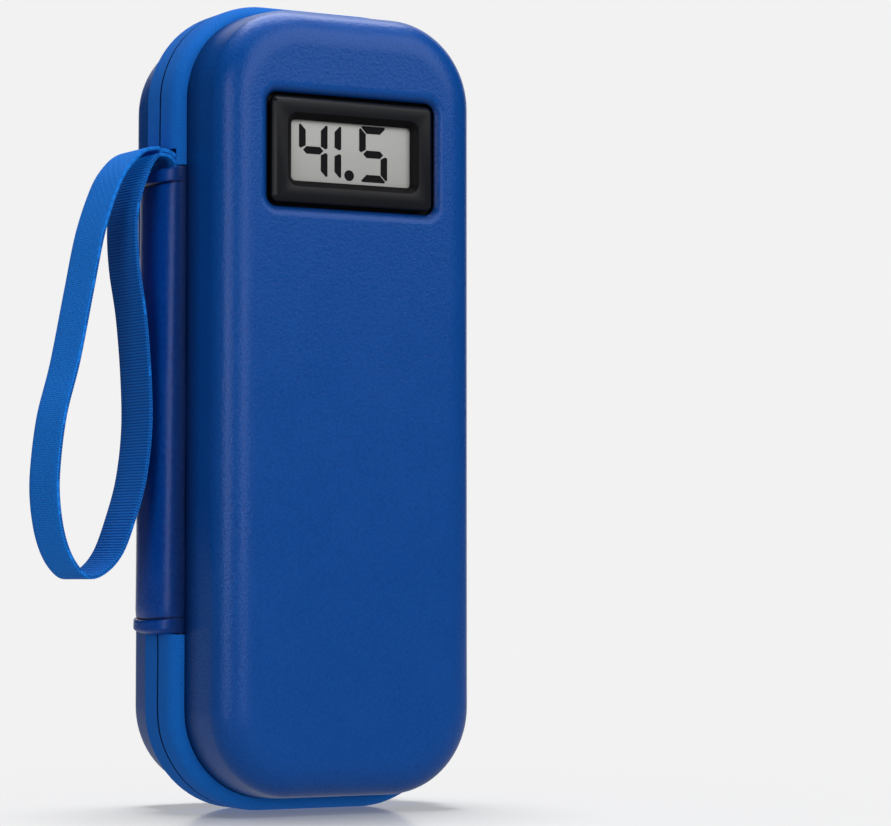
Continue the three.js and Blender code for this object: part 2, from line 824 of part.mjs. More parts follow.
// Band across a pack, with its ends sewn to the lining's walls
function elasticBand(bottom) {
  const z = liningFace - packThickness - 2 * clearance - bandThickness;
  const reach = halfWidth - liningInset - shellDraft - clearance;
  const band = new THREE.Shape();
  band.moveTo(-reach, z);
  band.lineTo(reach, z);
  band.lineTo(reach, z + bandTab);
  band.lineTo(reach - bandThickness, z + bandTab);
  band.lineTo(reach - bandThickness, z + bandThickness);
  band.lineTo(bandThickness - reach, z + bandThickness);
  band.lineTo(bandThickness - reach, z + bandTab);
  band.lineTo(-reach, z + bandTab);
  return standing(band, bandHeight, bottom + bandHeight);
}

const looks = {
  shell: material("shell", 0.62),
  spine: material("spine", 0.5),
  tape: material("tape", 0.9),
  coil: material("coil", 0.6),
  strap: material("strap", 0.9),
  metal: material("metal", 0.35, 0.9),
  foil: material("foil", 0.35, 0.6),
  bezel: material("bezel", 0.45),
  glass: material("glass", 0.15),
  rubber: material("rubber", 0.8),
  board: material("board", 0.5),
  steel: material("steel", 0.3, 1),
  gel: material("gel", 0.25),
  elastic: material("elastic", 0.95),
  bead: material("bead", 0.4),
};

function bandPair(group, name, packBottom) {
  const lower = packBottom + bandInset;
  const upper = packBottom + packHeight - bandInset - bandHeight;
  part(group, `${name}_band_lower`, elasticBand(lower), looks.elastic);
  part(group, `${name}_band_upper`, elasticBand(upper), looks.elastic);
}

// The back half and what stays with it; its pieces are drawn facing the front and turned over
function buildRear() {
  const rear = new THREE.Group();
  const flip = new THREE.Matrix4().makeScale(1, 1, -1);
  const turned = (geometry) => fromFaces(geometry.applyMatrix4(flip));
  part(rear, "rear_shell", rearShell(), looks.shell);
  part(rear, "rear_lining", tray(beltOutline, mirrored(liningProfile())), looks.foil);
  part(rear, "rear_zip_tape", zipTape(mirrored(tapeSection())), looks.tape);
  part(rear, "rear_zip_coil", sweep(zipStations(strapTop), mirrored(coilSection())), looks.coil);
  const packBottom = (caseHeight - packHeight) / 2;
  part(rear, "rear_gel_pack", turned(gelPack(packBottom)), looks.gel);
  const bands = new THREE.Group();
  bandPair(bands, "rear", packBottom);
  for (const band of [...bands.children]) {
    part(rear, band.name, turned(band.geometry), looks.elastic);
  }
  return rear;
}

function buildSpine() {
  const spine = new THREE.Group();
  part(spine, "spine_strip", spineStrip(), looks.spine);
  part(spine, "spine_hem_lower", spineHem(spineBottom), looks.spine);
  part(spine, "spine_hem_upper", spineHem(spineTop - hemHeight), looks.spine);
  part(spine, "spine_lining", spineLining(), looks.elastic);
  part(spine, "strap_anchor", strapAnchor(), looks.strap);
  const strap = part(spine, "wrist_strap", wristStrap(), looks.strap);
  strap.position.x = -halfWidth;
  strap.rotation.y = Math.PI + THREE.MathUtils.degToRad(strapTurn);
  return spine;
}

function buildThermometer() {
  const thermometer = new THREE.Group();
  part(thermometer, "display_bezel", bezel(), looks.bezel);
  part(thermometer, "lcd_panel", lcdPanel(), looks.glass);
  part(thermometer, "contact_strip_upper", contactStrip(1), looks.rubber);
  part(thermometer, "contact_strip_lower", contactStrip(-1), looks.rubber);
  part(thermometer, "circuit_board", circuitBoard(), looks.board);
  part(thermometer, "battery_contact", batteryContact(), looks.steel);
  part(thermometer, "button_cell_left", buttonCell(-1), looks.steel);
  part(thermometer, "button_cell_right", buttonCell(1), looks.steel);
  part(thermometer, "display_back_cover", backCover(), looks.bezel);
  part(thermometer, "battery_door", batteryDoor(), looks.bezel);
  part(thermometer, "unit_button", unitButton(), looks.rubber);
  part(thermometer, "sensor_bead", sensorBead(), looks.bead);
  return thermometer;
}

function buildLid() {
  const lid = new THREE.Group();
  part(lid, "front_shell", frontShell(), looks.shell);
  part(lid, "front_lining", frontLining(), looks.foil);
  part(lid, "front_zip_tape", zipTape(tapeSection()), looks.tape);
  part(lid, "front_zip_coil", sweep(zipStations(strapTop), coilSection()), looks.coil);
  part(lid, "front_gel_pack", gelPack(lidPackBottom), looks.gel);
  bandPair(lid, "front", lidPackBottom);
  lid.add(buildThermometer());
  return lid;
}

// Two sliders meet nose to nose on the right side; both pulls hang down
function buildSliders() {
  const sliders = new THREE.Group();
  sliders.position.set(halfWidth, meetingHeight, 0);
  for (const [name, side] of [["upper", 1], ["lower", -1]]) {
    const slider = part(sliders, `zip_slider_${name}`, sliderBody(), looks.metal);
    slider.position.y = (side * noseGap) / 2;
    slider.rotation.x = side > 0 ? 0 : Math.PI;
    const pull = part(sliders, `zip_pull_${name}`, pullTab(), looks.metal);
    pull.position.set(pullPivot, side * (noseGap / 2 + bridgeAt), 0);
  }
  return sliders;
}

// Drawn facing the viewer, X right, Y up and Z to the front, then stood up
const coolingCase = new THREE.Group();
coolingCase.rotation.x = Math.PI / 2;
coolingCase.add(buildRear(), buildSpine(), buildLid(), buildSliders());

const insulinCoolingCase = new THREE.Group();
insulinCoolingCase.add(coolingCase);

export default insulinCoolingCase;
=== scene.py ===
# %% [markdown]
# # An insulin cooling case, dressed for its portrait
#
# The case is a slim clamshell that stands on its end: two leather-covered moulded shells, a zip round three
# sides, a sewn spine with a wrist strap on the fourth, and a little panel thermometer in the lid. The packed
# CAD model gives every piece its place. Here each piece gets the shape and the finish that the hand and the
# eye expect, and rides on the CAD body that carries it.

# %% Load the frame
import math

import bpy
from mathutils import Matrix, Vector
from mathutils.geometry import interpolate_bezier


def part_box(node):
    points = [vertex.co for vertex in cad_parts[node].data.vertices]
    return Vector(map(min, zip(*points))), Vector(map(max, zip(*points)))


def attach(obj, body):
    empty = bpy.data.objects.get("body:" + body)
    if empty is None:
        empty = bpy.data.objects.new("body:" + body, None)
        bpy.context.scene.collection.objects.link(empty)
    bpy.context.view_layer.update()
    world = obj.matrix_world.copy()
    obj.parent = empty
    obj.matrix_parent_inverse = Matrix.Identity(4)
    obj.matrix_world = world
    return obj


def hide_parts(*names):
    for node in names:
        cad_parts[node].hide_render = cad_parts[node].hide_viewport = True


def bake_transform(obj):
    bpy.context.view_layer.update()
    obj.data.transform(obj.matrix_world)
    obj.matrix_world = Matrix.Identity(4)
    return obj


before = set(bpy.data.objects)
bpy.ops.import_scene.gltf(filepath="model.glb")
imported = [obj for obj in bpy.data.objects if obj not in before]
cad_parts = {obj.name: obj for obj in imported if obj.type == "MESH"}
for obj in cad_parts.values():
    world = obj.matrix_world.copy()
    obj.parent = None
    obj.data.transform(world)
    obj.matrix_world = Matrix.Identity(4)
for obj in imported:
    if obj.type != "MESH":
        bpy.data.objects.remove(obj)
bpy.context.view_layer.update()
bpy.ops.object.select_all(action="DESELECT")

# %% [markdown]
# ## The camera
#
# The portrait was taken with a long lens from a little below the middle of the case, so its upright edges
# hardly converge. The eye and the aim come from fitting the corners of the thermometer and the outline of the
# case to the picture. The aim is turned off to the right of the case rather than shifted, which leaves the
# lens without any shift for the other views.

# %% Place the camera
CAMERA_EYE = Vector((-0.39788, -0.77835, 0.06073))
CAMERA_AIM = Vector((0.494, 0.8678, 0.0527))
CAMERA_LENS = 129.7
CAMERA_SENSOR = 36
CAMERA_FAR = 50
MIDDLE = Vector((0, 0, 0.108))
bpy.ops.object.camera_add(location=CAMERA_EYE, rotation=CAMERA_AIM.to_track_quat("-Z", "Y").to_euler())
camera = bpy.context.object
camera.data.lens = CAMERA_LENS
camera.data.sensor_width = CAMERA_SENSOR
camera.data.clip_end = CAMERA_FAR
bpy.context.scene.camera = camera
bpy.context.scene.view_settings.view_transform = "Standard"
print("camera", round((CAMERA_EYE - MIDDLE).length, 3), "m from the case")

# %% [markdown]
# ## Sizes
#
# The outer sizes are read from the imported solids, so the dressed pieces stay where the solids are. The rest
# are the maker's own sizes in millimetres, counted the same way as on a drawing: an inset is measured inward
# from the outline of the belt, and a depth from the seam outward to the front or to the back.

# %% Name the sizes
MM = 0.001
FRONT = -1
BACK = 1
HALVES = (("front", FRONT, "lid"), ("rear", BACK, "case_back"))
tape_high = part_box("front_zip_tape")[1]
CASE_WIDTH = 2 * tape_high.x / MM
CASE_HEIGHT = tape_high.z / MM
FACE_DEPTH = -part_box("front_shell")[0].y / MM
CORNER = 27.3
CORNER_STEPS = 20
BELT_FLAT = 5
BELT_HALF = 9.3
BELT_DROP = 3.45
SKIN_ROOM = 1.5
FLANGE_EDGE = 3.2
print("case", round(CASE_WIDTH, 1), "x", round(2 * FACE_DEPTH, 1), "x", round(CASE_HEIGHT, 1), "mm")

# %% [markdown]
# ## Working by hand in code
#
# Operators act on what is selected, so each helper leaves a clean selection. Most moulded pieces start as one
# flat face with rounded corners. Insetting that face again and again, each time a little further in and a
# little further out, draws the section of the piece ring by ring, as a turner draws a profile with a gouge.

# %% Helpers for modelling
def start_edit(kind):
    bpy.ops.object.mode_set(mode="EDIT")
    bpy.ops.mesh.select_mode(type=kind)


def end_edit():
    bpy.ops.object.mode_set(mode="OBJECT")


def only(piece):
    bpy.ops.object.select_all(action="DESELECT")
    piece.select_set(True)
    bpy.context.view_layer.objects.active = piece


def clear_picks(kind):
    """Deselects every point, edge and face of the active piece."""
    start_edit(kind)
    bpy.ops.mesh.select_all(action="DESELECT")
    end_edit()


def pick_faces(piece, test):
    """Selects the faces whose centre and normal pass a test, and stays in edit mode."""
    clear_picks("FACE")
    for face in piece.data.polygons:
        face.select = test(face.center, face.normal)
    start_edit("FACE")


def drop_faces(piece, test):
    """Deletes the faces whose centre and normal pass a test."""
    pick_faces(piece, test)
    bpy.ops.mesh.delete(type="FACE")
    end_edit()


def face_out():
    """Turns all faces of the active piece outward."""
    start_edit("FACE")
    bpy.ops.mesh.select_all(action="SELECT")
    bpy.ops.mesh.normals_make_consistent(inside=False)
    end_edit()


def move_to_depth(piece, depth):
    """Moves a flat face that is being edited to another depth, in millimetres."""
    end_edit()
    for vertex in piece.data.vertices:
        vertex.co.y = depth * MM
    start_edit("FACE")


def rounded_face(name, width, bottom, top, radius, depth, facing=FRONT, steps=CORNER_STEPS):
    """A flat face with rounded corners, in edit mode with the face selected."""
    bpy.ops.object.select_all(action="DESELECT")
    bpy.ops.mesh.primitive_plane_add(
        size=1,
        location=(0, facing * depth * MM, (bottom + top) / 2 * MM),
        rotation=(-facing * math.pi / 2, 0, 0),
    )
    piece = bpy.context.object
    piece.name = name
    piece.data.name = name
    piece.scale = (width * MM, (top - bottom) * MM, 1)
    bpy.ops.object.transform_apply(location=True, rotation=True, scale=True)
    start_edit("VERT")
    bpy.ops.mesh.select_all(action="SELECT")
    bpy.ops.mesh.bevel(offset=radius * MM, segments=steps, affect="VERTICES")
    bpy.ops.mesh.select_all(action="SELECT")
    bpy.ops.mesh.remove_doubles(threshold=MM / 20)
    bpy.ops.mesh.select_mode(type="FACE")
    bpy.ops.mesh.select_all(action="SELECT")
    return piece


def belt_face(name, inset, depth, facing=FRONT):
    """The outline of the belt, drawn in by an inset."""
    return rounded_face(
        name, CASE_WIDTH - 2 * inset, inset, CASE_HEIGHT - inset, CORNER - inset, depth, facing
    )


LEAST_INSET = 0.001


def step_rings(profile):
    """Insets the selected face along a profile of (inset, rise) points in millimetres."""
    for (inset, rise), (next_inset, next_rise) in zip(profile, profile[1:]):
        thickness = max(next_inset - inset, LEAST_INSET)
        bpy.ops.mesh.inset(thickness=thickness * MM, depth=(next_rise - rise) * MM, use_even_offset=True)


def bezier(points, steps):
    """Points of a curve through its first and last point, as (inset, rise) pairs."""
    knots = [Vector((x, y, 0)) for x, y in points]
    return [(p.x, p.y) for p in interpolate_bezier(*knots, steps + 1)]


def right_angle(steps):
    """Angles from 0 to 90 degrees in equal steps."""
    return [math.radians(90 * i / steps) for i in range(steps + 1)]


def quarter(centre, across, along, steps):
    """Points of a quarter of an ellipse, as (inset, rise) pairs."""
    return [
        (centre[0] - across * math.cos(a), centre[1] + along * math.sin(a)) for a in right_angle(steps)
    ]


def modify(piece, kind, **settings):
    """Adds a modifier with its settings and applies it."""
    only(piece)
    bpy.ops.object.modifier_add(type=kind)
    modifier = piece.modifiers[-1]
    for name, value in settings.items():
        setattr(modifier, name, value)
    bpy.ops.object.modifier_apply(modifier=modifier.name)


def carve(piece, tool):
    """Cuts one closed shape out of another, and throws the tool away."""
    modify(piece, "BOOLEAN", operation="DIFFERENCE", solver="EXACT", object=tool)
    bpy.data.objects.remove(tool)


def close_rim():
    """Fills an open rim of the active piece with one face and turns all faces outward."""
    start_edit("EDGE")
    bpy.ops.mesh.select_all(action="DESELECT")
    bpy.ops.mesh.select_non_manifold()
    bpy.ops.mesh.edge_face_add()
    end_edit()
    face_out()


def dress(piece, body, finish, stands_for=(), smooth=35, bend=None):
    """Smooths a finished piece, gives it its material and puts it on its body, or, when a bend is given,
    bakes its place and puts it on no body.
    """
    only(piece)
    bpy.ops.object.shade_smooth_by_angle(angle=math.radians(smooth))
    piece.data.materials.clear()
    piece.data.materials.append(finish)
    if bend:
        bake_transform(piece)
    else:
        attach(piece, body)
    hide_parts(*stands_for)
    print(piece.name, len(piece.data.polygons), "faces on", body)
    return piece


def paint(piece, finish, test):
    """Gives a second finish to the faces that pass a test."""
    piece.data.materials.append(finish)
    for face in piece.data.polygons:
        face.material_index = int(test(face))


# %% [markdown]
# ## Materials
#
# A node group holds what several finishes share, so that one change reaches all of them. Each material
# places a group with its own scale and keeps its own shader. Pictures of leather and cloth could be wrapped
# round the pieces, but they would stretch at the corners and need files beside the script, so every pattern
# is computed from coordinates.

# %% Helpers for nodes
def node(tree, kind, inputs=None, **settings):
    """Adds a node, sets it, and links or fills its inputs by name or number."""
    made = tree.nodes.new(kind)
    for name, value in settings.items():
        setattr(made, name, value)
    for name, value in (inputs or {}).items():
        if isinstance(value, bpy.types.NodeSocket):
            tree.links.new(value, made.inputs[name])
        else:
            made.inputs[name].default_value = value
    return made


def maths(tree, operation, first, second=0.0):
    made = node(tree, "ShaderNodeMath", {0: first, 1: second}, operation=operation)
    return made.outputs[0]


def vector_maths(tree, operation, first, second):
    made = node(tree, "ShaderNodeVectorMath", {0: first, 1: second}, operation=operation)
    return made.outputs[0]


def noise(tree, where, scale, detail):
    made = node(tree, "ShaderNodeTexNoise", {"Vector": where, "Scale": scale, "Detail": detail})
    return made.outputs


def between(tree, value, low, high, start=0.0, end=1.0):
    """Turns a value from start to end into one from low to high."""
    ends = {"From Min": start, "From Max": end, "To Min": low, "To Max": high}
    return node(tree, "ShaderNodeMapRange", {"Value": value, **ends}).outputs["Result"]


# The mix node keeps its colours behind its numbers and vectors.
MIX_FIRST, MIX_SECOND, MIX_RESULT = 6, 7, 2


def blend_colour(tree, share, first, second):
    inputs = {"Factor": share, MIX_FIRST: first, MIX_SECOND: second}
    return node(tree, "ShaderNodeMix", inputs, data_type="RGBA").outputs[MIX_RESULT]


def group(name, inputs, outputs):
    """An empty node group with named inputs and outputs, and the nodes at its two ends."""
    tree = bpy.data.node_groups.new(name, "ShaderNodeTree")
    for socket, kind in inputs:
        tree.interface.new_socket(socket, in_out="INPUT", socket_type=kind)
    for socket, kind in outputs:
        tree.interface.new_socket(socket, in_out="OUTPUT", socket_type=kind)
    return tree, tree.nodes.new("NodeGroupInput").outputs, tree.nodes.new("NodeGroupOutput").inputs


def place_group(tree, name, inputs):
    return node(tree, "ShaderNodeGroup", inputs, node_tree=bpy.data.node_groups[name]).outputs


VECTOR = "NodeSocketVector"
NUMBER = "NodeSocketFloat"


# %% [markdown]
# The cover is synthetic leather with an embossed grain: small rounded cells with fine creases between them.
# A Voronoi pattern has such cells, but their borders are too straight, so a little noise pushes the
# coordinates about first. Finer noise lies on top. Slow noise gives the mottle, which is the change of tone
# that every dyed or moulded surface has.

# %% Leather grain
WARP_SCALE = 900.0
WARP_REACH = (0.0006, 0.0006, 0.0006)
FINE_SCALE = 3500.0
FINE_SHARE = 0.35
MOTTLE_SCALE = 60.0


def make_grain():
    tree, given, result = group(
        "Grain", [("Vector", VECTOR), ("Scale", NUMBER)], [("Height", NUMBER), ("Mottle", NUMBER)]
    )
    where = given["Vector"]
    warp = vector_maths(tree, "MULTIPLY", noise(tree, where, WARP_SCALE, 2.0)["Color"], WARP_REACH)
    moved = vector_maths(tree, "ADD", where, warp)
    cells = node(
        tree, "ShaderNodeTexVoronoi", {"Vector": moved, "Scale": given["Scale"]}, feature="SMOOTH_F1"
    )
    pebble = maths(tree, "SUBTRACT", 1.0, cells.outputs["Distance"])
    fine = maths(tree, "MULTIPLY", noise(tree, where, FINE_SCALE, 3.0)["Fac"], FINE_SHARE)
    tree.links.new(maths(tree, "ADD", pebble, fine), result["Height"])
    tree.links.new(noise(tree, where, MOTTLE_SCALE, 4.0)["Fac"], result["Mottle"])


make_grain()


# %% [markdown]
# Tape, webbing and elastic are threads that pass over and under each other. Modelling every thread would
# take millions of faces that nobody sees. Here the flat cloth is counted off in threads both ways. At each
# crossing the count decides which thread lies on top, and half a sine wave makes it round.

# %% Weave
FUZZ_SCALE = 2600.0


def make_weave():
    tree, given, result = group(
        "Weave",
        [("Vector", VECTOR), ("Warp", NUMBER), ("Weft", NUMBER), ("Repeat", NUMBER), ("Over", NUMBER)],
        [("Height", NUMBER), ("Fuzz", NUMBER)],
    )
    parts = node(tree, "ShaderNodeSeparateXYZ", {"Vector": given["Vector"]})
    warp = maths(tree, "MULTIPLY", parts.outputs["X"], given["Warp"])
    weft = maths(tree, "MULTIPLY", parts.outputs["Y"], given["Weft"])
    counted = maths(tree, "ADD", maths(tree, "FLOOR", warp), maths(tree, "FLOOR", weft))
    turn = maths(tree, "FLOORED_MODULO", counted, given["Repeat"])
    over = maths(tree, "LESS_THAN", turn, given["Over"])
    rounds = [
        maths(tree, "SINE", maths(tree, "MULTIPLY", maths(tree, "FRACT", count), math.pi))
        for count in (warp, weft)
    ]
    height = maths(
        tree,
        "ADD",
        maths(tree, "MULTIPLY", rounds[0], over),
        maths(tree, "MULTIPLY", rounds[1], maths(tree, "SUBTRACT", 1.0, over)),
    )
    tree.links.new(height, result["Height"])
    tree.links.new(noise(tree, given["Vector"], FUZZ_SCALE, 2.0)["Fac"], result["Fuzz"])


make_weave()
print("groups:", ", ".join(made.name for made in bpy.data.node_groups))


# %% Start a material
def new_material(name, **sockets):
    """A material with one principled shader, whose plain sockets are set by name."""
    material = bpy.data.materials.new(name)
    material.use_nodes = True
    shader = material.node_tree.nodes["Principled BSDF"]
    for socket, value in sockets.items():
        shader.inputs[socket.replace("_", " ")].default_value = value
    return material, material.node_tree, shader


def coordinates(tree, kind):
    return node(tree, "ShaderNodeTexCoord").outputs[kind]


def bump(tree, shader, height, strength, distance):
    made = node(tree, "ShaderNodeBump", {"Strength": strength, "Distance": distance, "Height": height})
    tree.links.new(made.outputs["Normal"], shader.inputs["Normal"])


# %% [markdown]
# Leather is the grain with a tone and a shine. Wherever it folds or meets another piece its tone is darkened
# as painted shade. That could be left to the lamps, but such a crease is finer than the model, so the painted
# shade deepens with the distance: toward the belt, into a hollow, toward an edge and at a fold.

# %% Leather
# Painted shade: the dark navy that the leather is drawn toward, and the distances over which that shade
# fades.
PAINTED_SHADE_TONE = (0.0003, 0.006, 0.045, 1)
CREASE_SHADE_FADE = 0.008
HOLLOW_LIGHT = 0.12
EDGE_LIGHT = 0.2
FOLD_SHADE_FADE = (0.0001, 0.0006)
LEATHER_TINT = (0.6, 0.66, 1.0, 1)
MOTTLE_SHARE = (-0.15, 0.35)
PEBBLE_SHARE = (-0.6, 1.0)
ROUGH_SPREAD = 0.04


def in_hollow(tree, spot, reach, middle, deep, level):
    """Painted light left in a hollow of the lid's face: all outside it and at its level, little at its deep
    end.
    """
    across = maths(tree, "SUBTRACT", maths(tree, "ABSOLUTE", spot["X"]), reach[0] * MM)
    raised = maths(tree, "ABSOLUTE", maths(tree, "SUBTRACT", spot["Z"], middle * MM))
    beyond = maths(tree, "MAXIMUM", across, maths(tree, "SUBTRACT", raised, reach[1] * MM))
    light = between(tree, maths(tree, "ABSOLUTE", spot["Y"]), HOLLOW_LIGHT, 1.0, deep * MM, level * MM)
    return maths(tree, "MAXIMUM", maths(tree, "GREATER_THAN", beyond, 0.0), light)


def leather(name, dark, light, cells, rough, depth, crease=0.0, folds=(), hollow=None, edge=None):
    """Embossed synthetic leather with its grain in cells a metre, with painted shade where it folds or meets
    another piece.
    """
    material, tree, shader = new_material(name, Specular_IOR_Level=0.3, Specular_Tint=LEATHER_TINT)
    where = coordinates(tree, "Object")
    grain = place_group(tree, "Grain", {"Vector": where, "Scale": cells})
    # Painted shade in the grain: the creases between the cells are darker and the cell tops lighter.
    pebble = between(tree, grain["Height"], *PEBBLE_SHARE)
    share = maths(tree, "ADD", between(tree, grain["Mottle"], *MOTTLE_SHARE), pebble)
    spot = node(tree, "ShaderNodeSeparateXYZ", {"Vector": where}).outputs
    # Painted shade toward the belt, where the leather meets the tape.
    foot = BELT_HALF * MM
    out = maths(tree, "ABSOLUTE", spot["Y"])
    painted_light_left = between(tree, out, 1 - crease, 1.0, foot, foot + CREASE_SHADE_FADE)
    # Painted shade down into the hollow round the thermometer.
    if hollow:
        painted_light_left = maths(tree, "MINIMUM", painted_light_left, in_hollow(tree, spot, *hollow))
    flat = node(tree, "ShaderNodeSeparateXYZ", {"Vector": coordinates(tree, "UV")}).outputs
    # Painted shade toward the edge, along the UV map's first coordinate.
    if edge:
        clear = between(tree, flat["X"], EDGE_LIGHT, 1.0, 0.0, edge * MM)
        painted_light_left = maths(tree, "MINIMUM", painted_light_left, clear)
    # Painted shade along each fold, along the UV map's second coordinate.
    for fold in folds:
        away = maths(tree, "ABSOLUTE", maths(tree, "SUBTRACT", flat["Y"], fold * MM))
        painted_light_left = maths(tree, "MINIMUM", painted_light_left, between(tree, away, 0.0, 1.0, *FOLD_SHADE_FADE))
    # The painted shade draws the tone toward the dark navy.
    tone = blend_colour(tree, painted_light_left, PAINTED_SHADE_TONE, blend_colour(tree, share, dark, light))
    tree.links.new(tone, shader.inputs["Base Color"])
    shine = between(tree, grain["Mottle"], rough - ROUGH_SPREAD, rough + ROUGH_SPREAD)
    tree.links.new(shine, shader.inputs["Roughness"])
    bump(tree, shader, grain["Height"], 0.8, depth)
    return material


# %% [markdown]
# The threads follow the piece's own UV map, which holds the flat size of the cloth in metres. On Object
# coordinates they would cut straight through a bend instead of going round it. The tone follows the threads'
# height as painted shade: the crowns take the lighter tone and the gaps between threads the darker one, and
# fuzz makes some threads paler than others at random.

# %% Woven cloth
def cloth(name, dark, light, warp, weft, repeat, over, depth, fuzz=(0.55, 1.35)):
    """Cloth whose threads follow the piece's own UV map, in threads a metre."""
    material, tree, shader = new_material(name, Roughness=0.85, Specular_IOR_Level=0.15)
    where = coordinates(tree, "UV")
    weave = place_group(
        tree, "Weave", {"Vector": where, "Warp": warp, "Weft": weft, "Repeat": repeat, "Over": over}
    )
    # Painted shade: lighter on the crowns of the threads, darker between them.
    lit = maths(tree, "MULTIPLY", weave["Height"], between(tree, weave["Fuzz"], *fuzz))
    tree.links.new(blend_colour(tree, lit, dark, light), shader.inputs["Base Color"])
    bump(tree, shader, weave["Height"], 0.6, depth)
    return material


TAPE_WEAVE = {"warp": 2700.0, "weft": 2700.0, "repeat": 4.0, "over": 2.0, "depth": 0.00015}
STRAP_WEAVE = {"warp": 1500.0, "weft": 1700.0, "repeat": 4.0, "over": 2.0, "depth": 0.0002}
RIB_WEAVE = {"warp": 900.0, "weft": 1250.0, "repeat": 2.0, "over": 0.0, "depth": 0.0003}
TAPE_CLOTH = cloth(
    "tape_cloth", (0.0010, 0.060, 0.32, 1), (0.006, 0.175, 0.68, 1), fuzz=(0.1, 1.8), **TAPE_WEAVE
)
# Painted shade: a dark copy of the tape's cloth for its faces at the seam.
SEAM_SHADE_CLOTH = cloth("seam_shade_cloth", (0.0003, 0.006, 0.045, 1), (0.0006, 0.010, 0.070, 1), **TAPE_WEAVE)
STRAP_CLOTH = cloth("strap_cloth", (0.0012, 0.100, 0.46, 1), (0.007, 0.200, 0.74, 1), **STRAP_WEAVE)
STRAP_RIBS = cloth("strap_ribs", (0.0008, 0.050, 0.25, 1), (0.004, 0.135, 0.52, 1), **RIB_WEAVE)


# %% [markdown]
# A mould leaves a fine spark-eroded texture on plastic. With one plain roughness it would look like wax, so
# fine noise changes the roughness and lifts the surface a little, and slow noise changes the tone.

# %% Moulded plastic
TONE_SCALE = 90.0
SPARK_SPREAD = 0.08


def plastic(name, dark, light, rough, speckle=2500.0, depth=0.00003, **sockets):
    """Moulded plastic with a fine spark-eroded texture and a slow change of tone."""
    material, tree, shader = new_material(name, **sockets)
    where = coordinates(tree, "Object")
    fine = noise(tree, where, speckle, 3.0)["Fac"]
    slow = noise(tree, where, TONE_SCALE, 2.0)["Fac"]
    tree.links.new(blend_colour(tree, slow, dark, light), shader.inputs["Base Color"])
    shine = between(tree, fine, rough - SPARK_SPREAD, rough + SPARK_SPREAD)
    tree.links.new(shine, shader.inputs["Roughness"])
    bump(tree, shader, fine, 0.4, depth)
    return material


# Painted shade: a flat black for the groove round the bezel and the sides of the window, where shade falls.
PAINTED_SHADE_BLACK = plastic(
    "painted_shade_black", (0.001, 0.001, 0.0015, 1), (0.002, 0.002, 0.003, 1), 0.5, Specular_IOR_Level=0.1
)
print("first finishes:", ", ".join(made.name for made in bpy.data.materials))

# %% [markdown]
# ## The two shells
#
# Each half is foam moulded hot between leather and lining, so it has no sharp edge anywhere: a wall with a
# slight draft, a broad soft bend into the face, and a flat flange along the seam. A bevelled block would have
# a straight wall and a round edge, and neither is right here, so insets draw the outside ring by ring from
# the flange to the face. The open rim is then filled, and the same tool draws the inside with negative rises.
# The top of the lid is drawn up a little at the end.

# %% Model the shells
WALL_FOOT = (3.6, 7.8)
WALL_HEAD = (4.25, 22.7)
EDGE_END = 14.75
EDGE_PULL = 0.55
BELT_STEPS = 4
WALL_STEPS = 6
EDGE_STEPS = 16
SHELL_WALL = 4
INNER_BEND = (6, 3.5)
INNER_STEPS = 6
FRONT_LIFT = 0.6
LIFT_START = 0.6


def outer_profile():
    belt_tall = BELT_HALF - BELT_FLAT - SKIN_ROOM
    belt = quarter((BELT_DROP, BELT_FLAT), BELT_DROP - SKIN_ROOM, belt_tall, BELT_STEPS)
    lean = WALL_HEAD[0] - WALL_FOOT[0]
    tall = WALL_HEAD[1] - WALL_FOOT[1]
    wall = [
        (WALL_FOOT[0] + lean * (i / WALL_STEPS) ** 2, WALL_FOOT[1] + tall * i / WALL_STEPS)
        for i in range(WALL_STEPS)
    ]
    rise = (FACE_DEPTH - WALL_HEAD[1]) * EDGE_PULL
    knots = [
        WALL_HEAD,
        (WALL_HEAD[0] + 2 * lean / tall * rise, WALL_HEAD[1] + rise),
        (EDGE_END - (EDGE_END - WALL_HEAD[0]) * EDGE_PULL, FACE_DEPTH),
        (EDGE_END, FACE_DEPTH),
    ]
    return [(SKIN_ROOM, FLANGE_EDGE), *belt, *wall, *bezier(knots, EDGE_STEPS)]


def inner_profile():
    foot = (WALL_FOOT[0] + SHELL_WALL, FLANGE_EDGE)
    bend = quarter((EDGE_END, WALL_HEAD[1]), *INNER_BEND, INNER_STEPS)
    return [(inset, FLANGE_EDGE - depth) for inset, depth in [(SKIN_ROOM, FLANGE_EDGE), foot, *bend]]


def shell(name, facing):
    piece = belt_face(name, SKIN_ROOM, FLANGE_EDGE, facing)
    step_rings(outer_profile())
    end_edit()
    close_rim()
    rim = facing * FLANGE_EDGE * MM
    pick_faces(piece, lambda centre, normal: abs(centre.y - rim) < MM / 10 and normal.y * facing < -0.9)
    step_rings(inner_profile())
    end_edit()
    return piece


def lift_top(piece, lift):
    """Draws the upper part of a shell up a little, more toward its top."""
    start = LIFT_START * CASE_HEIGHT * MM
    for vertex in piece.data.vertices:
        share = max(0, (vertex.co.z - start) / (CASE_HEIGHT * MM - start))
        vertex.co.z += lift * MM * share * share * (3 - 2 * share)


front_shell = shell("front_shell_skin", FRONT)
lift_top(front_shell, FRONT_LIFT)
rear_shell = shell("rear_shell_skin", BACK)
print("shells", len(front_shell.data.polygons), "and", len(rear_shell.data.polygons), "faces")

# %% [markdown]
# The lid has a soft step pressed into its face, in which the thermometer lies. The step could be inset in the
# face itself, but a tool that is carved out leaves the rings of the shell as they are. The tool is made by
# the same insets, turned inward, and the hole for the body is carved after it. A narrow groove round the
# bezel is painted flat black as painted shade, and the leather is darkened toward it as painted shade, where
# little light comes in.

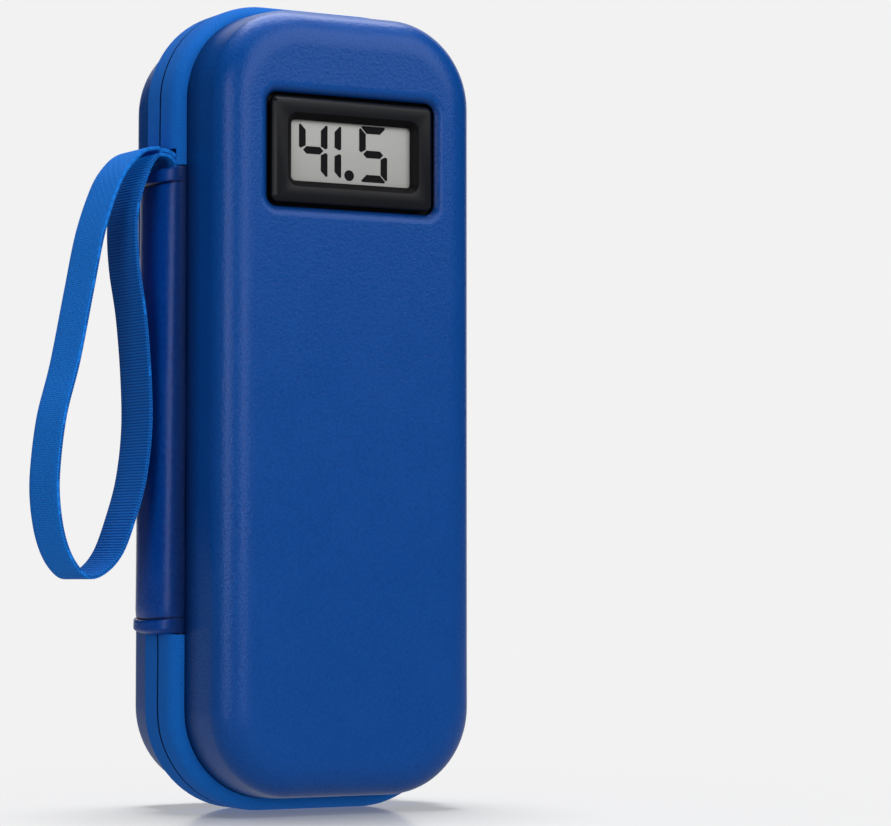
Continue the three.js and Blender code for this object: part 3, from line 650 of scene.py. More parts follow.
# %% Press the step for the thermometer
DISPLAY_HEIGHT = CASE_HEIGHT - 41.6
BEZEL = (48, 28)
BEZEL_CORNER = 1.8
BODY = (45, 25)
STEP_MARGIN = 4
STEP_SLOPE = 3.7
STEP_DEPTH = 2.4
STEP_POWER = 2.2
STEP_RINGS = 14
STEP_SHADE = (1.45, 0.15)
GROOVE = 1.1
HOLE_ROOM = 0.6
HAIR = 0.02


def display_face(name, width, height, corner, depth, steps=8):
    bottom = DISPLAY_HEIGHT - height / 2
    return rounded_face(name, width, bottom, bottom + height, corner, depth, FRONT, steps)


def step_tool():
    grow = 2 * STEP_MARGIN
    above = 1
    tool = display_face(
        "step_tool", BEZEL[0] + grow, BEZEL[1] + grow, BEZEL_CORNER + STEP_MARGIN, FACE_DEPTH + above
    )
    bpy.ops.mesh.flip_normals()
    slope = [
        (STEP_SLOPE * i / STEP_RINGS, above + STEP_DEPTH * (i / STEP_RINGS) ** STEP_POWER)
        for i in range(STEP_RINGS + 1)
    ]
    step_rings([(0, 0), *slope])
    end_edit()
    close_rim()
    return tool


def block_tool(name, width, height, corner, front, back):
    tool = display_face(name, width, height, corner, front)
    bpy.ops.mesh.flip_normals()
    step_rings([(0, 0), (0, front - back)])
    end_edit()
    close_rim()
    return tool


carve(front_shell, step_tool())
carve(
    front_shell,
    block_tool(
        "groove_tool",
        BEZEL[0] + 2 * GROOVE,
        BEZEL[1] + 2 * GROOVE,
        BEZEL_CORNER + GROOVE,
        FACE_DEPTH,
        FACE_DEPTH - STEP_DEPTH - GROOVE,
    ),
)
hole = (BODY[0] + HOLE_ROOM, BODY[1] + HOLE_ROOM)
carve(front_shell, block_tool("hole_tool", *hole, BEZEL_CORNER, FACE_DEPTH, FLANGE_EDGE))
# The shell's leather is darkened as painted shade toward the belt and down into the step round the
# thermometer.
SHELL_LEATHER = leather(
    "shell_leather",
    (0.0010, 0.046, 0.232, 1),
    (0.0020, 0.060, 0.280, 1),
    cells=1500.0,
    rough=0.3,
    depth=0.00007,
    crease=0.9,
    hollow=(
        (BEZEL[0] / 2 + STEP_MARGIN, BEZEL[1] / 2 + STEP_MARGIN),
        DISPLAY_HEIGHT,
        FACE_DEPTH - STEP_SHADE[0],
        FACE_DEPTH - STEP_SHADE[1],
    ),
)


def in_groove(face):
    spot = face.center / MM
    across = max(abs(spot.x) - BEZEL[0] / 2 + BEZEL_CORNER, 0)
    raised = max(abs(spot.z - DISPLAY_HEIGHT) - BEZEL[1] / 2 + BEZEL_CORNER, 0)
    return math.hypot(across, raised) < BEZEL_CORNER + GROOVE + HAIR


for piece, (side, facing, body) in zip((front_shell, rear_shell), HALVES):
    dress(piece, body, SHELL_LEATHER, [f"{side}_shell"])
    modify(piece, "WEIGHTED_NORMAL", keep_sharp=True)
# The groove's faces are painted flat black as painted shade.
paint(front_shell, PAINTED_SHADE_BLACK, in_groove)

# %% [markdown]
# ## The zip tapes
#
# The tape is a woven band that lies flat along the seam and dips into a crease beside the shell. The two
# edges nearly meet over the coil, and they wander a little, as cloth does. Their faces at the seam are
# painted a dark navy as painted shade, so that only a thin dark line shows between them. A strip along a
# curve could twist at the corners, which insets on the outline of the belt can't do. The tape stops at the
# spine, with a notch where the strap comes out.

# %% Model the tapes
TAPE_GAP = 0.42
TAPE_SECTION = {FRONT: (BELT_FLAT, BELT_DROP), BACK: (7.6, 1.9)}
TAPE_FOOT = 3.5
TAPE_RINGS = (1.6, 3.3)
TAPE_STEPS = 8
TAPE_THICKNESS = 0.8
BEND_GIRTH = 3.9
LONGEST_EDGE = 6
SEAM_CUTS = 40
SEAM_REACH = 3
SEAM_WAVES = ((0.11, 190, 0), (0.07, 430, 1))
SPINE_BOTTOM = 47.7
SPINE_TOP = CASE_HEIGHT - 45
STRAP_TOP = SPINE_TOP + 4.6
STRAP_ROOM = 8.1
TAPE_ENDS = (SPINE_BOTTOM - 0.6, SPINE_TOP + 0.3)
SIDE = -CASE_WIDTH / 2
SIDE_REACH = SIDE + 4


def outline_distance(x, z):
    """Distance along the belt's outline from the middle of its right side, in metres."""
    half = CASE_WIDTH / 2 * MM
    radius = CORNER * MM
    middle = CASE_HEIGHT / 2 * MM
    flat_up = middle - radius
    flat_across = half - radius
    up = z - middle
    arc = radius * math.pi / 2
    if abs(up) <= flat_up:
        along = abs(up)
    elif abs(x) <= flat_across:
        along = flat_up + arc + flat_across - math.copysign(1, x) * abs(x)
        return math.copysign(along, up)
    else:
        angle = math.atan2(abs(up) - flat_up, abs(x) - flat_across)
        along = flat_up + radius * angle
    if x < 0:
        along = 2 * (flat_up + arc + flat_across) - along
    return math.copysign(along, up)


def across_belt(depth):
    """Distance over the belt's section from its seam, in millimetres."""
    beyond = min(max(abs(depth) - BELT_FLAT, 0) / (BELT_HALF - BELT_FLAT), 1)
    return math.copysign(min(abs(depth), BELT_FLAT) + BEND_GIRTH * math.asin(beyond), depth)


def write_uv(piece, place):
    """Fills the piece's UV map from each vertex, in metres on the cloth."""
    layer = piece.data.uv_layers.get("UVMap") or piece.data.uv_layers.new(name="UVMap")
    spots = [place(v.co) for v in piece.data.vertices]
    for loop in piece.data.loops:
        layer.data[loop.index].uv = spots[loop.vertex_index]


def cut_level(piece, height):
    """Adds an edge at a height round the left side."""
    pick_faces(piece, lambda centre, normal: centre.x < SIDE / 2 * MM)
    bpy.ops.mesh.bisect(plane_co=(0, 0, height * MM), plane_no=(0, 0, 1))
    end_edit()


def divide_long_edges(piece, longest, cuts):
    clear_picks("EDGE")
    for edge in piece.data.edges:
        a, b = (piece.data.vertices[i].co for i in edge.vertices)
        edge.select = (b - a).length > longest
    start_edit("EDGE")
    bpy.ops.mesh.subdivide(number_cuts=cuts)
    end_edit()


def seam_wave(distance):
    """How far the seam wanders from its line, in millimetres, at a distance along it in metres."""
    return sum(far * math.sin(distance * rate + start) for far, rate, start in SEAM_WAVES)


def under_spine(centre, normal):
    return centre.x < SIDE_REACH * MM and TAPE_ENDS[0] < centre.z / MM < TAPE_ENDS[1]


def under_strap(centre, normal):
    beside = centre.x < SIDE_REACH * MM and abs(centre.y) < STRAP_ROOM * MM
    return beside and SPINE_TOP < centre.z / MM < STRAP_TOP


def zip_tape(side, facing, body):
    piece = belt_face(f"{side}_tape", 0, TAPE_GAP, facing)
    reach, drop = TAPE_SECTION[facing]
    flat = [(i * LEAST_INSET, depth) for i, depth in enumerate((TAPE_GAP, *TAPE_RINGS, reach))]
    bend = quarter((drop, reach), drop, BELT_HALF - reach, TAPE_STEPS)[1:]
    step_rings([*flat, *bend, (TAPE_FOOT, BELT_HALF)])
    bpy.ops.mesh.delete(type="FACE")
    end_edit()
    divide_long_edges(piece, LONGEST_EDGE * MM, SEAM_CUTS)
    for height in (*TAPE_ENDS, STRAP_TOP):
        cut_level(piece, height)
    drop_faces(piece, under_spine)
    drop_faces(piece, under_strap)
    face_out()
    write_uv(piece, lambda p: (outline_distance(p.x, p.z), across_belt(p.y / MM) * MM))
    for vertex in piece.data.vertices:
        near = max(0, 1 - abs(vertex.co.y) / (SEAM_REACH * MM))
        vertex.co.y += near * seam_wave(outline_distance(vertex.co.x, vertex.co.z)) * MM
    modify(piece, "SOLIDIFY", thickness=TAPE_THICKNESS * MM, offset=-1)
    dress(piece, body, TAPE_CLOTH, [f"{side}_zip_tape"])
    # The faces at the seam get the dark cloth as painted shade.
    paint(piece, SEAM_SHADE_CLOTH, lambda face: face.normal.y * facing < -0.7 and abs(face.center.y) < MM)


for half in HALVES:
    zip_tape(*half)

# %% [markdown]
# ## Sheets and ribbons
#
# Leather strips, webbing and elastic all start as a flat grid, which is the cut cloth. Each point of the grid
# is then moved to where the cloth lies on the case, and the flat size stays in the UV map, so that the weave
# follows every bend. A curve with a bevel would be quicker, but it doesn't keep that size. A thickness closes
# the sheet at the end.

# %% Helpers for cloth
def laid_sheet(name, columns, rows, place, flat, thickness, side):
    """A grid whose points go to place(u, v), with flat(u, v) as its UV map, both from 0 to 1."""
    bpy.ops.object.select_all(action="DESELECT")
    bpy.ops.mesh.primitive_grid_add(x_subdivisions=columns, y_subdivisions=rows, size=1)
    piece = bpy.context.object
    piece.name = name
    piece.data.name = name
    shares = [(v.co.x + 0.5, v.co.y + 0.5) for v in piece.data.vertices]
    for vertex, (u, v) in zip(piece.data.vertices, shares):
        vertex.co = Vector(place(u, v)) * MM
    layer = piece.data.uv_layers["UVMap"]
    for loop in piece.data.loops:
        across, along = flat(*shares[loop.vertex_index])
        layer.data[loop.index].uv = (across * MM, along * MM)
    modify(piece, "SOLIDIFY", thickness=thickness * MM, offset=side)
    face_out()
    return piece


def lengths(path):
    """Distance from the start of a path to each of its points."""
    total = [0.0]
    for a, b in zip(path, path[1:]):
        total.append(total[-1] + (b - a).length)
    return total


SELVEDGE = 0.35
RIBBON_ROWS = 6
RIBBON_ANGLE = math.radians(50)


def ribbon(name, path, width, toward, thickness, edge=0.3):
    """A flat band with rounded edges along a path, its width along one direction or one for each point."""
    along = lengths(path)
    ways = toward if isinstance(toward, list) else [toward] * len(path)
    columns = len(path) - 1

    def place(u, v):
        i = round(u * columns)
        return path[i] + ways[i] * width * (v - 0.5)

    def flat(u, v):
        return SELVEDGE + (width - 2 * SELVEDGE) * v, along[round(u * columns)]

    piece = laid_sheet(name, columns, RIBBON_ROWS, place, flat, thickness, 0)
    modify(piece, "BEVEL", width=edge * MM, segments=2, limit_method="ANGLE", angle_limit=RIBBON_ANGLE)
    return piece


def smooth_path(points, steps):
    """A smooth path through points, with a number of steps between each two."""
    ends = [points[0] * 2 - points[1], *points, points[-1] * 2 - points[-2]]
    path = []
    for a, b, c, d in zip(ends, ends[1:], ends[2:], ends[3:]):
        knots = (b, b + (c - a) / 6, c - (d - b) / 6, c)
        path.extend(interpolate_bezier(*knots, steps + 1)[:-1])
    return [*path, points[-1]]


# %% [markdown]
# ## The wrist strap
#
# The strap is 15 mm webbing in one loop, sewn in behind the top hem of the spine. Simulated cloth could find
# its own way down, but a drawn route puts the loop where it hangs on the real case. The route is a list of
# points out from the spine and up from the top of the spine, as in the solid. The loop hangs in an upright
# plane that is turned a little to the front. The points where its first centimetre would bend are given, but
# the loop is baked in place on no body. One side of the webbing is plain and the other is ribbed.

# %% Lay the strap
STRAP_WIDTH = 15
STRAP_THICKNESS = 1.1
STRAP_TURN = math.radians(6)
TWIST_REACH = 8
STRAP_STEPS = 6
BEND_START = (3.2, 3.6)
BEND_END = (13.0, -2.0)
STRAP_ROUTE = [
    (3.4, 4.4), (8.6, 3.4), (13.2, -0.6), (16.8, -6.5), (21, -18.3), (24.4, -34), (28.4, -53),
    (32.2, -67), (34, -80.5), (34, -89.5), (32.4, -98.4), (29.4, -105), (25, -108.8), (20, -107.4),
    (15.2, -102.4), (11.4, -93.2), (8.4, -83), (6.8, -70), (7.1, -56), (8.6, -40), (10.8, -27),
    (11.4, -16), (10.2, -8.4), (7.8, -2.2), (5.4, 1.4), (3.6, 2.8),
]
STRAP_OUT = Vector((-math.cos(STRAP_TURN), -math.sin(STRAP_TURN), 0))
STRAP_ACROSS = Vector((-math.sin(STRAP_TURN), math.cos(STRAP_TURN), 0))


def by_spine(out, up, direction=STRAP_OUT):
    return Vector((SIDE, 0, SPINE_TOP + up)) + direction * out


def across_strap(along, whole):
    """Direction across the strap, which leaves the spine square to it and then turns to the front."""
    turn = STRAP_TURN * min(along / TWIST_REACH, (whole - along) / TWIST_REACH, 1)
    return Vector((-math.sin(turn), math.cos(turn), 0))


strap_path = smooth_path([by_spine(out, up) for out, up in STRAP_ROUTE], STRAP_STEPS)
strap_along = lengths(strap_path)
strap_ways = [across_strap(along, strap_along[-1]) for along in strap_along]
strap = ribbon("wrist_strap_webbing", strap_path, STRAP_WIDTH, strap_ways, STRAP_THICKNESS)
bend = ("spine", "strap", by_spine(*BEND_START) * MM, by_spine(*BEND_END) * MM)
dress(strap, "strap", STRAP_CLOTH, ["wrist_strap"], bend=bend)
ribbed_ways = [(b - a).cross(STRAP_ACROSS) for a, b in zip(strap_path, strap_path[1:])]


def ribbed(face):
    spot = face.center / MM
    nearest = min(range(len(ribbed_ways)), key=lambda i: (strap_path[i] - spot).length_squared)
    return face.normal.dot(ribbed_ways[nearest]) > 0


paint(strap, STRAP_RIBS, ribbed)

# %% [markdown]
# Behind the hem the two ends lie on each other. They come up out of the spine and bend outward to the loop.
# They could belong to the loop, but they are a piece of their own, which stays with the spine when the loop
# swings.

# %% Lay the strap's root
ROOT_INSET = -2.3
ROOT_FOOT = (-11, -6)
ROOT_HEIGHT = -1
ROOT_BEND = 4.4
ROOT_STEPS = 12
ROOT_END = 3.6
ROOT_THICKNESS = 1.05
ROOT_LAYERS = (("inner", -0.55), ("outer", 0.55))


def root_path(layer):
    radius = ROOT_BEND + layer
    turn = quarter((ROOT_INSET + ROOT_BEND, ROOT_HEIGHT), radius, radius, ROOT_STEPS)
    foot = [(ROOT_INSET - layer, up) for up in ROOT_FOOT]
    line = [*foot, *turn, (ROOT_END, turn[-1][1])]
    return [by_spine(out, up, Vector((-1, 0, 0))) for out, up in line]


layers = [
    ribbon(f"strap_root_{name}", root_path(layer), STRAP_WIDTH, Vector((0, 1, 0)), ROOT_THICKNESS)
    for name, layer in ROOT_LAYERS
]
only(layers[0])
layers[1].select_set(True)
bpy.ops.object.join()
dress(layers[0], "spine", STRAP_CLOTH, ["strap_anchor"])

# %% [markdown]
# ## The spine
#
# A strip of darker, smoother leather wraps the belt between the two creases. It is folded over at both ends,
# which makes the hems: a little thicker, with a rounded fold, and pulled down slightly in the middle where
# the stitching draws the leather in. A hem could be a strip of its own, but it would show a gap at the fold,
# so it is one sheet, with closer rows of points at both ends.

# %% Lay the spine
SPINE_CROWN = (4.2, 3.0)
SPINE_REAR = 10.5
SPINE_ARCH = {FRONT: (BELT_HALF, 0.8), BACK: (SPINE_REAR, 0.4)}
SPINE_TALL = SPINE_TOP - SPINE_BOTTOM
SPINE_WAVE = (0.12, 7.3, 4)
SPINE_THICKNESS = 1.1
HEM_HEIGHT = 4
HEM_RISE = 0.65
HEM_ROUND = 0.9
HEM_SAG = 0.9
SAG_REACH = 30
HEM_CREASE = 0.35
HEM_CLOSE = 1.4
HEM_ZONE = 1.1 * HEM_HEIGHT
HEM_ROWS = 36
STRIP_ROWS = 60
SPINE_COLUMNS = 36
SPINE_GIRTH = 23
SPINE_SHADE_REACH = 5


def spine_skin(share, crown):
    """Out from the belt and depth, at a share of the way from the seam to the front or rear edge."""
    half, power = SPINE_ARCH[BACK if share > 0 else FRONT]
    angle = share * math.pi / 2
    return (BELT_DROP + crown) * math.cos(angle) ** power - BELT_DROP, half * math.sin(angle)


def crown_at(up):
    """Height of the arch over the belt, which closes at the lower end and leaves the upper one open."""
    lower, upper = SPINE_CROWN
    crown = lower + (upper - lower) * up / SPINE_TALL + hem_rise(up)
    closed = min(up / HEM_CLOSE, 1)
    return crown * math.sqrt(1 - (1 - closed) ** 2)


def hem_rise(up):
    """Height of the folded hem over the strip, at a height above the spine's lower end."""
    into = min(up, SPINE_TALL - up)
    near = min(into, HEM_HEIGHT - into)
    if near <= 0:
        return -HEM_CREASE * max(0, 1 + near / HEM_ROUND)
    share = min(near / HEM_ROUND, 1)
    return (HEM_RISE + HEM_CREASE) * math.sqrt(1 - (1 - share) ** 2) - HEM_CREASE


def spine_rows():
    fine = [HEM_ZONE * i / HEM_ROWS for i in range(HEM_ROWS + 1)]
    coarse = [HEM_ZONE + (SPINE_TALL - 2 * HEM_ZONE) * i / STRIP_ROWS for i in range(1, STRIP_ROWS)]
    return [*fine, *coarse, *(SPINE_TALL - up for up in reversed(fine))]


spine_ups = spine_rows()


def up_at(v):
    return spine_ups[round(v * (len(spine_ups) - 1))]


def spine_place(u, v):
    up = up_at(v)
    out, depth = spine_skin(2 * u - 1, crown_at(up))
    near_foot = max(0, 1 - up / SAG_REACH)
    near_head = max(0, 1 - (SPINE_TALL - up) / SAG_REACH)
    pull = (1 - (depth / SPINE_REAR) ** 2) * HEM_SAG * (near_foot + near_head)
    far, length, width = SPINE_WAVE
    wave = far * math.sin(up / length) * math.cos(depth / width) * (1 - near_foot) * (1 - near_head)
    return SIDE - out - wave, depth, SPINE_BOTTOM + up - pull


# The spine's leather has painted shade along both hem folds and toward its front edge.
SPINE_LEATHER = leather(
    "spine_leather",
    (0.0008, 0.040, 0.250, 1),
    (0.0015, 0.056, 0.310, 1),
    cells=900.0,
    rough=0.29,
    depth=0.00006,
    folds=(HEM_HEIGHT, SPINE_TALL - HEM_HEIGHT),
    edge=SPINE_SHADE_REACH,
)
spine = laid_sheet(
    "spine_cover",
    SPINE_COLUMNS,
    len(spine_ups) - 1,
    spine_place,
    lambda u, v: (u * SPINE_GIRTH, up_at(v)),
    SPINE_THICKNESS,
    1,
)
dress(spine, "spine", SPINE_LEATHER, ["spine_strip", "spine_hem_lower", "spine_hem_upper"], 60)

# %% [markdown]
# ## Small rigid pieces
#
# The solids of the small mouldings, castings and electronics already have the right shape. A copy of each is
# merged and cleared of needless edges, and then a fine bevel breaks every sharp corner, because no real edge
# is perfectly sharp and the light needs something to catch.

# %% Refine the solids
def refine(cad_node, body, finish, edge=0.15, limit=30):
    piece = bpy.data.objects.new(cad_node + "_finished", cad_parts[cad_node].data.copy())
    bpy.context.scene.collection.objects.link(piece)
    only(piece)
    bpy.ops.mesh.customdata_custom_splitnormals_clear()
    start_edit("VERT")
    bpy.ops.mesh.select_all(action="SELECT")
    bpy.ops.mesh.remove_doubles(threshold=MM / 200)
    bpy.ops.mesh.dissolve_limited(angle_limit=math.radians(0.5))
    end_edit()
    angle = math.radians(limit)
    modify(piece, "BEVEL", width=edge * MM, segments=2, limit_method="ANGLE", angle_limit=angle)
    return dress(piece, body, finish, [cad_node])


# %% [markdown]
# The mouldings are plastic, the sliders dark plated metal, and the cells and their contact bright nickel.
# Plating is never quite even: fine marks along one direction change its tone and its shine. Scratches could
# be painted, but noise that a Mapping node stretches draws such marks on every side.

# %% Finishes of the small pieces
def metal(name, dark, light, rough, brush):
    """Plated metal with faint brushing along one direction."""
    material, tree, shader = new_material(name, Metallic=1.0)
    where = coordinates(tree, "Object")
    along = node(tree, "ShaderNodeMapping", {"Vector": where, "Scale": brush})
    marks = noise(tree, along.outputs[0], 1.0, 4.0)["Fac"]
    tree.links.new(blend_colour(tree, marks, dark, light), shader.inputs["Base Color"])
    tree.links.new(between(tree, marks, rough - 0.1, rough + 0.12), shader.inputs["Roughness"])
    bump(tree, shader, marks, 0.15, 0.00002)
    return material


BLACK_PLASTIC = plastic(
    "black_plastic", (0.003, 0.0035, 0.006, 1), (0.005, 0.0055, 0.008, 1), 0.33, Specular_IOR_Level=0.2
)
BLACK_EPOXY = plastic("black_epoxy", (0.005, 0.005, 0.006, 1), (0.009, 0.009, 0.010, 1), 0.3)
BUTTON_RUBBER = plastic("button_rubber", (0.55, 0.53, 0.48, 1), (0.62, 0.60, 0.55, 1), 0.7)
BOARD_GREEN = plastic("board_green", (0.008, 0.12, 0.035, 1), (0.014, 0.17, 0.05, 1), 0.4)
COIL_NYLON = plastic(
    "coil_nylon", (0.002, 0.012, 0.07, 1), (0.003, 0.018, 0.10, 1), 0.6, Specular_IOR_Level=0.2
)
PACK_BLUE = plastic(
    "pack_blue", (0.0005, 0.095, 0.50, 1), (0.001, 0.115, 0.58, 1), 0.34, 700.0, 0.00002, Coat_Weight=0.2
)
LCD_GREY = plastic(
    "lcd_grey", (0.35, 0.355, 0.34, 1), (0.38, 0.385, 0.37, 1), 0.3, 1800.0, 0.000005, Specular_IOR_Level=0.2
)
LCD_INK = plastic(
    "lcd_ink", (0.002, 0.002, 0.003, 1), (0.003, 0.003, 0.004, 1), 0.6, Specular_IOR_Level=0.1
)
ZIP_METAL = metal("zip_metal", (0.045, 0.05, 0.06, 1), (0.08, 0.085, 0.1, 1), 0.32, (900.0, 900.0, 200.0))
NICKEL = metal("nickel", (0.52, 0.52, 0.53, 1), (0.66, 0.66, 0.67, 1), 0.28, (300.0, 1200.0, 1200.0))
print(len(bpy.data.materials), "finishes")

# %% [markdown]
# The thermometer is a black moulding with a window, and behind it lie the panel, a board, two cells and a
# button. Its parts and the zip sliders are refined one by one, because each has the bevel that its size
# allows. The sides of the window are painted a duller black as painted shade, since hardly any light comes
# back from them.

# %% The thermometer and the zip sliders
WINDOW_REACH = (19.8, 10.8)


def in_window(face):
    spot = face.center / MM
    inside = abs(spot.x) < WINDOW_REACH[0] and abs(spot.z - DISPLAY_HEIGHT) < WINDOW_REACH[1]
    return inside and face.normal.y > -0.95


bezel = refine("display_bezel", "lid", BLACK_PLASTIC, 0.22)
# Painted shade: the sides of the window take the flat black.
paint(bezel, PAINTED_SHADE_BLACK, in_window)
refine("lcd_panel", "lid", LCD_GREY, 0.1)
refine("display_back_cover", "lid", BLACK_PLASTIC)
refine("battery_door", "door", BLACK_PLASTIC)
refine("circuit_board", "lid", BOARD_GREEN, 0.08)
refine("battery_contact", "lid", NICKEL, 0.06)
refine("unit_button", "button", BUTTON_RUBBER)
refine("sensor_bead", "lid", BLACK_EPOXY, 0.04, 60)
for side in ("upper", "lower"):
    refine(f"contact_strip_{side}", "lid", BUTTON_RUBBER)
    refine(f"zip_slider_{side}", f"slider_{side}", ZIP_METAL, 0.14)
    refine(f"zip_pull_{side}", f"pull_{side}", ZIP_METAL, 0.18)
for side in ("left", "right"):
    refine(f"button_cell_{side}", "lid", NICKEL, 0.1, 40)

# %% [markdown]
# ## The reading
#
# The panel shows three figures made of straight bars. The outer bars are cut slanting at their ends, so that
# two of them meet at a corner like the sides of a picture frame, and the middle bar is pointed at both ends.
# A font could set them, but it would be a file from outside, and bars are easy to cut. Each bar is a plane
# that is cut, turned and put in its place, and a thin layer of ink at the end.

# %% Set the figures
LCD_FRONT = -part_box("lcd_panel")[0].y / MM
WINDOW_LEFT = -18
FIGURE_HEIGHT = 15
FIGURE_FOOT = DISPLAY_HEIGHT - 7.15
FIGURE_WIDTH = 8.5
BAR = 2.0
BAR_GAP = 0.22
INK = 0.06
MITRE = BAR
HALF_MITRE = 0.5 * BAR
BLUNT = 0.65
LIT = {"4": "bcfg", "5": "acdfg", "1": "bc"}
FIGURES = [("4", 2.75), ("1", 6.85), ("5", 20.75)]
POINT_PLACE = 17.75
POINT_SIZE = 2.9


def bars_of(figure, left):
    """Place, turn, length and end cuts of each lit bar; a turn of 0 has the bar's outer side on top."""
    x0 = WINDOW_LEFT + left
    centre = x0 + FIGURE_WIDTH / 2
    sides = (x0 + BAR / 2, x0 + FIGURE_WIDTH - BAR / 2)
    middle = FIGURE_FOOT + FIGURE_HEIGHT / 2
    lift = FIGURE_HEIGHT / 4
    end = (FIGURE_HEIGHT - BAR) / 2
    across = FIGURE_WIDTH - 2 * BAR_GAP
    upright = FIGURE_HEIGHT / 2 - 1.5 * BAR_GAP
    outward = (MITRE, HALF_MITRE)
    inward = (HALF_MITRE, MITRE)
    places = {
        "a": (centre, middle + end, 0, across, (MITRE, MITRE)),
        "b": (sides[1], middle + lift, 90, upright, outward),
        "c": (sides[1], middle - lift, 90, upright, inward),
        "d": (centre, middle - end, 180, across, (MITRE, MITRE)),
        "e": (sides[0], middle - lift, -90, upright, outward),
        "f": (sides[0], middle + lift, -90, upright, inward),
        "g": (centre, middle, 0, across - 2 * HALF_MITRE, None),
    }
    return [places[bar] for bar in LIT[figure]]


def mitre_ends(bar, cuts):
    """Draws in the inner corners of a bar, and blunts the outer ones."""
    clear_picks("VERT")
    for corner in bar.data.vertices:
        corner.select = corner.co.z > 0
        if not corner.select:
            corner.co.x -= math.copysign(cuts[int(corner.co.x > 0)] * MM, corner.co.x)
    start_edit("VERT")
    bpy.ops.mesh.bevel(offset=BLUNT * MM, segments=1, affect="VERTICES")
    end_edit()


def point_ends(bar):
    """Draws both ends of a bar out to a point."""
    for end in (-1, 1):
        clear_picks("EDGE")
        for edge in bar.data.edges:
            ends = [bar.data.vertices[i].co.x * end for i in edge.vertices]
            edge.select = min(ends) > 0
        start_edit("EDGE")
        bpy.ops.mesh.extrude_region_move(TRANSFORM_OT_translate={"value": (end * BAR / 2 * MM, 0, 0)})
        bpy.ops.mesh.merge(type="CENTER")
        end_edit()


def ink_bar(x, z, turn, length, cuts):
    bpy.ops.object.select_all(action="DESELECT")
    bpy.ops.mesh.primitive_plane_add(size=1, rotation=(math.pi / 2, 0, 0))
    bar = bpy.context.object
    bar.scale = ((length if cuts else length - BAR) * MM, BAR * MM, 1)
    bpy.ops.object.transform_apply(rotation=True, scale=True)
    if cuts:
        mitre_ends(bar, cuts)
    else:
        point_ends(bar)
    bar.rotation_euler = (0, math.radians(turn), 0)
    bar.location = (x * MM, -(LCD_FRONT + INK / 2) * MM, z * MM)
    bpy.ops.object.transform_apply(location=True, rotation=True)
    return bar


bars = [ink_bar(*place) for figure, left in FIGURES for place in bars_of(figure, left)]
bpy.ops.object.select_all(action="DESELECT")
bpy.ops.mesh.primitive_circle_add(
    vertices=32,
    radius=POINT_SIZE / 2 * MM,
    fill_type="NGON",
    rotation=(math.pi / 2, 0, 0),
    location=(
        (WINDOW_LEFT + POINT_PLACE) * MM,
        -(LCD_FRONT + INK / 2) * MM,
        (FIGURE_FOOT + POINT_SIZE / 2) * MM,
    ),
)
point = bpy.context.object
bpy.ops.object.transform_apply(location=True, rotation=True)
for bar in bars:
    bar.select_set(True)
bpy.ops.object.join()
point.name = "lcd_figures"
modify(point, "SOLIDIFY", thickness=INK / 2 * MM, offset=0)
dress(point, "lid", LCD_INK)

# %% [markdown]
# ## The zip coil
#
# Under the tapes run the two rows of nylon turns that lock into each other. One turn is a small block with
# broken edges. An array along a curve could repeat it, but that bends every turn at a corner, so copies are
# set square to the line of the belt. The rows are half a step apart, and each turn reaches between two of the
# other row.

# %% Set the turns of the coil
COIL_PITCH = 1.6
COIL_TURN = 0.62
COIL_TALL = 1.4
COIL_INSET = 2.05
COIL_REACH = (-0.3, 2.6)
COIL_BEVEL = 0.28
COIL_SHIFT = {FRONT: 0.25, BACK: 0.75}
COIL_ENDS = (SPINE_BOTTOM, STRAP_TOP + 0.6)


def belt_station(distance):
    """Point of the outline and the way out from it, at a distance from the middle of the right side."""
    half = CASE_WIDTH / 2 * MM
    radius = CORNER * MM
    flat_up = CASE_HEIGHT / 2 * MM - radius
    flat_across = half - radius
    arc = radius * math.pi / 2
    a = abs(distance)
    bends = [flat_up, flat_up + arc, flat_up + arc + 2 * flat_across, flat_up + 2 * arc + 2 * flat_across]
    if a <= bends[0]:
        x, up, angle = half, a, 0
    elif a <= bends[1]:
        angle = (a - bends[0]) / radius
        x, up = flat_across + radius * math.cos(angle), flat_up + radius * math.sin(angle)
    elif a <= bends[2]:
        x, up, angle = flat_across - (a - bends[1]), half + flat_up - flat_across, math.pi / 2
    elif a <= bends[3]:
        angle = math.pi / 2 + (a - bends[2]) / radius
        x, up = -flat_across + radius * math.cos(angle), flat_up + radius * math.sin(angle)
    else:
        x, up, angle = -half, flat_up - (a - bends[3]), math.pi
    sign = math.copysign(1, distance)
    spot = Vector((x, 0, CASE_HEIGHT / 2 * MM + sign * up))
    return spot, Vector((math.cos(angle), 0, sign * math.sin(angle)))


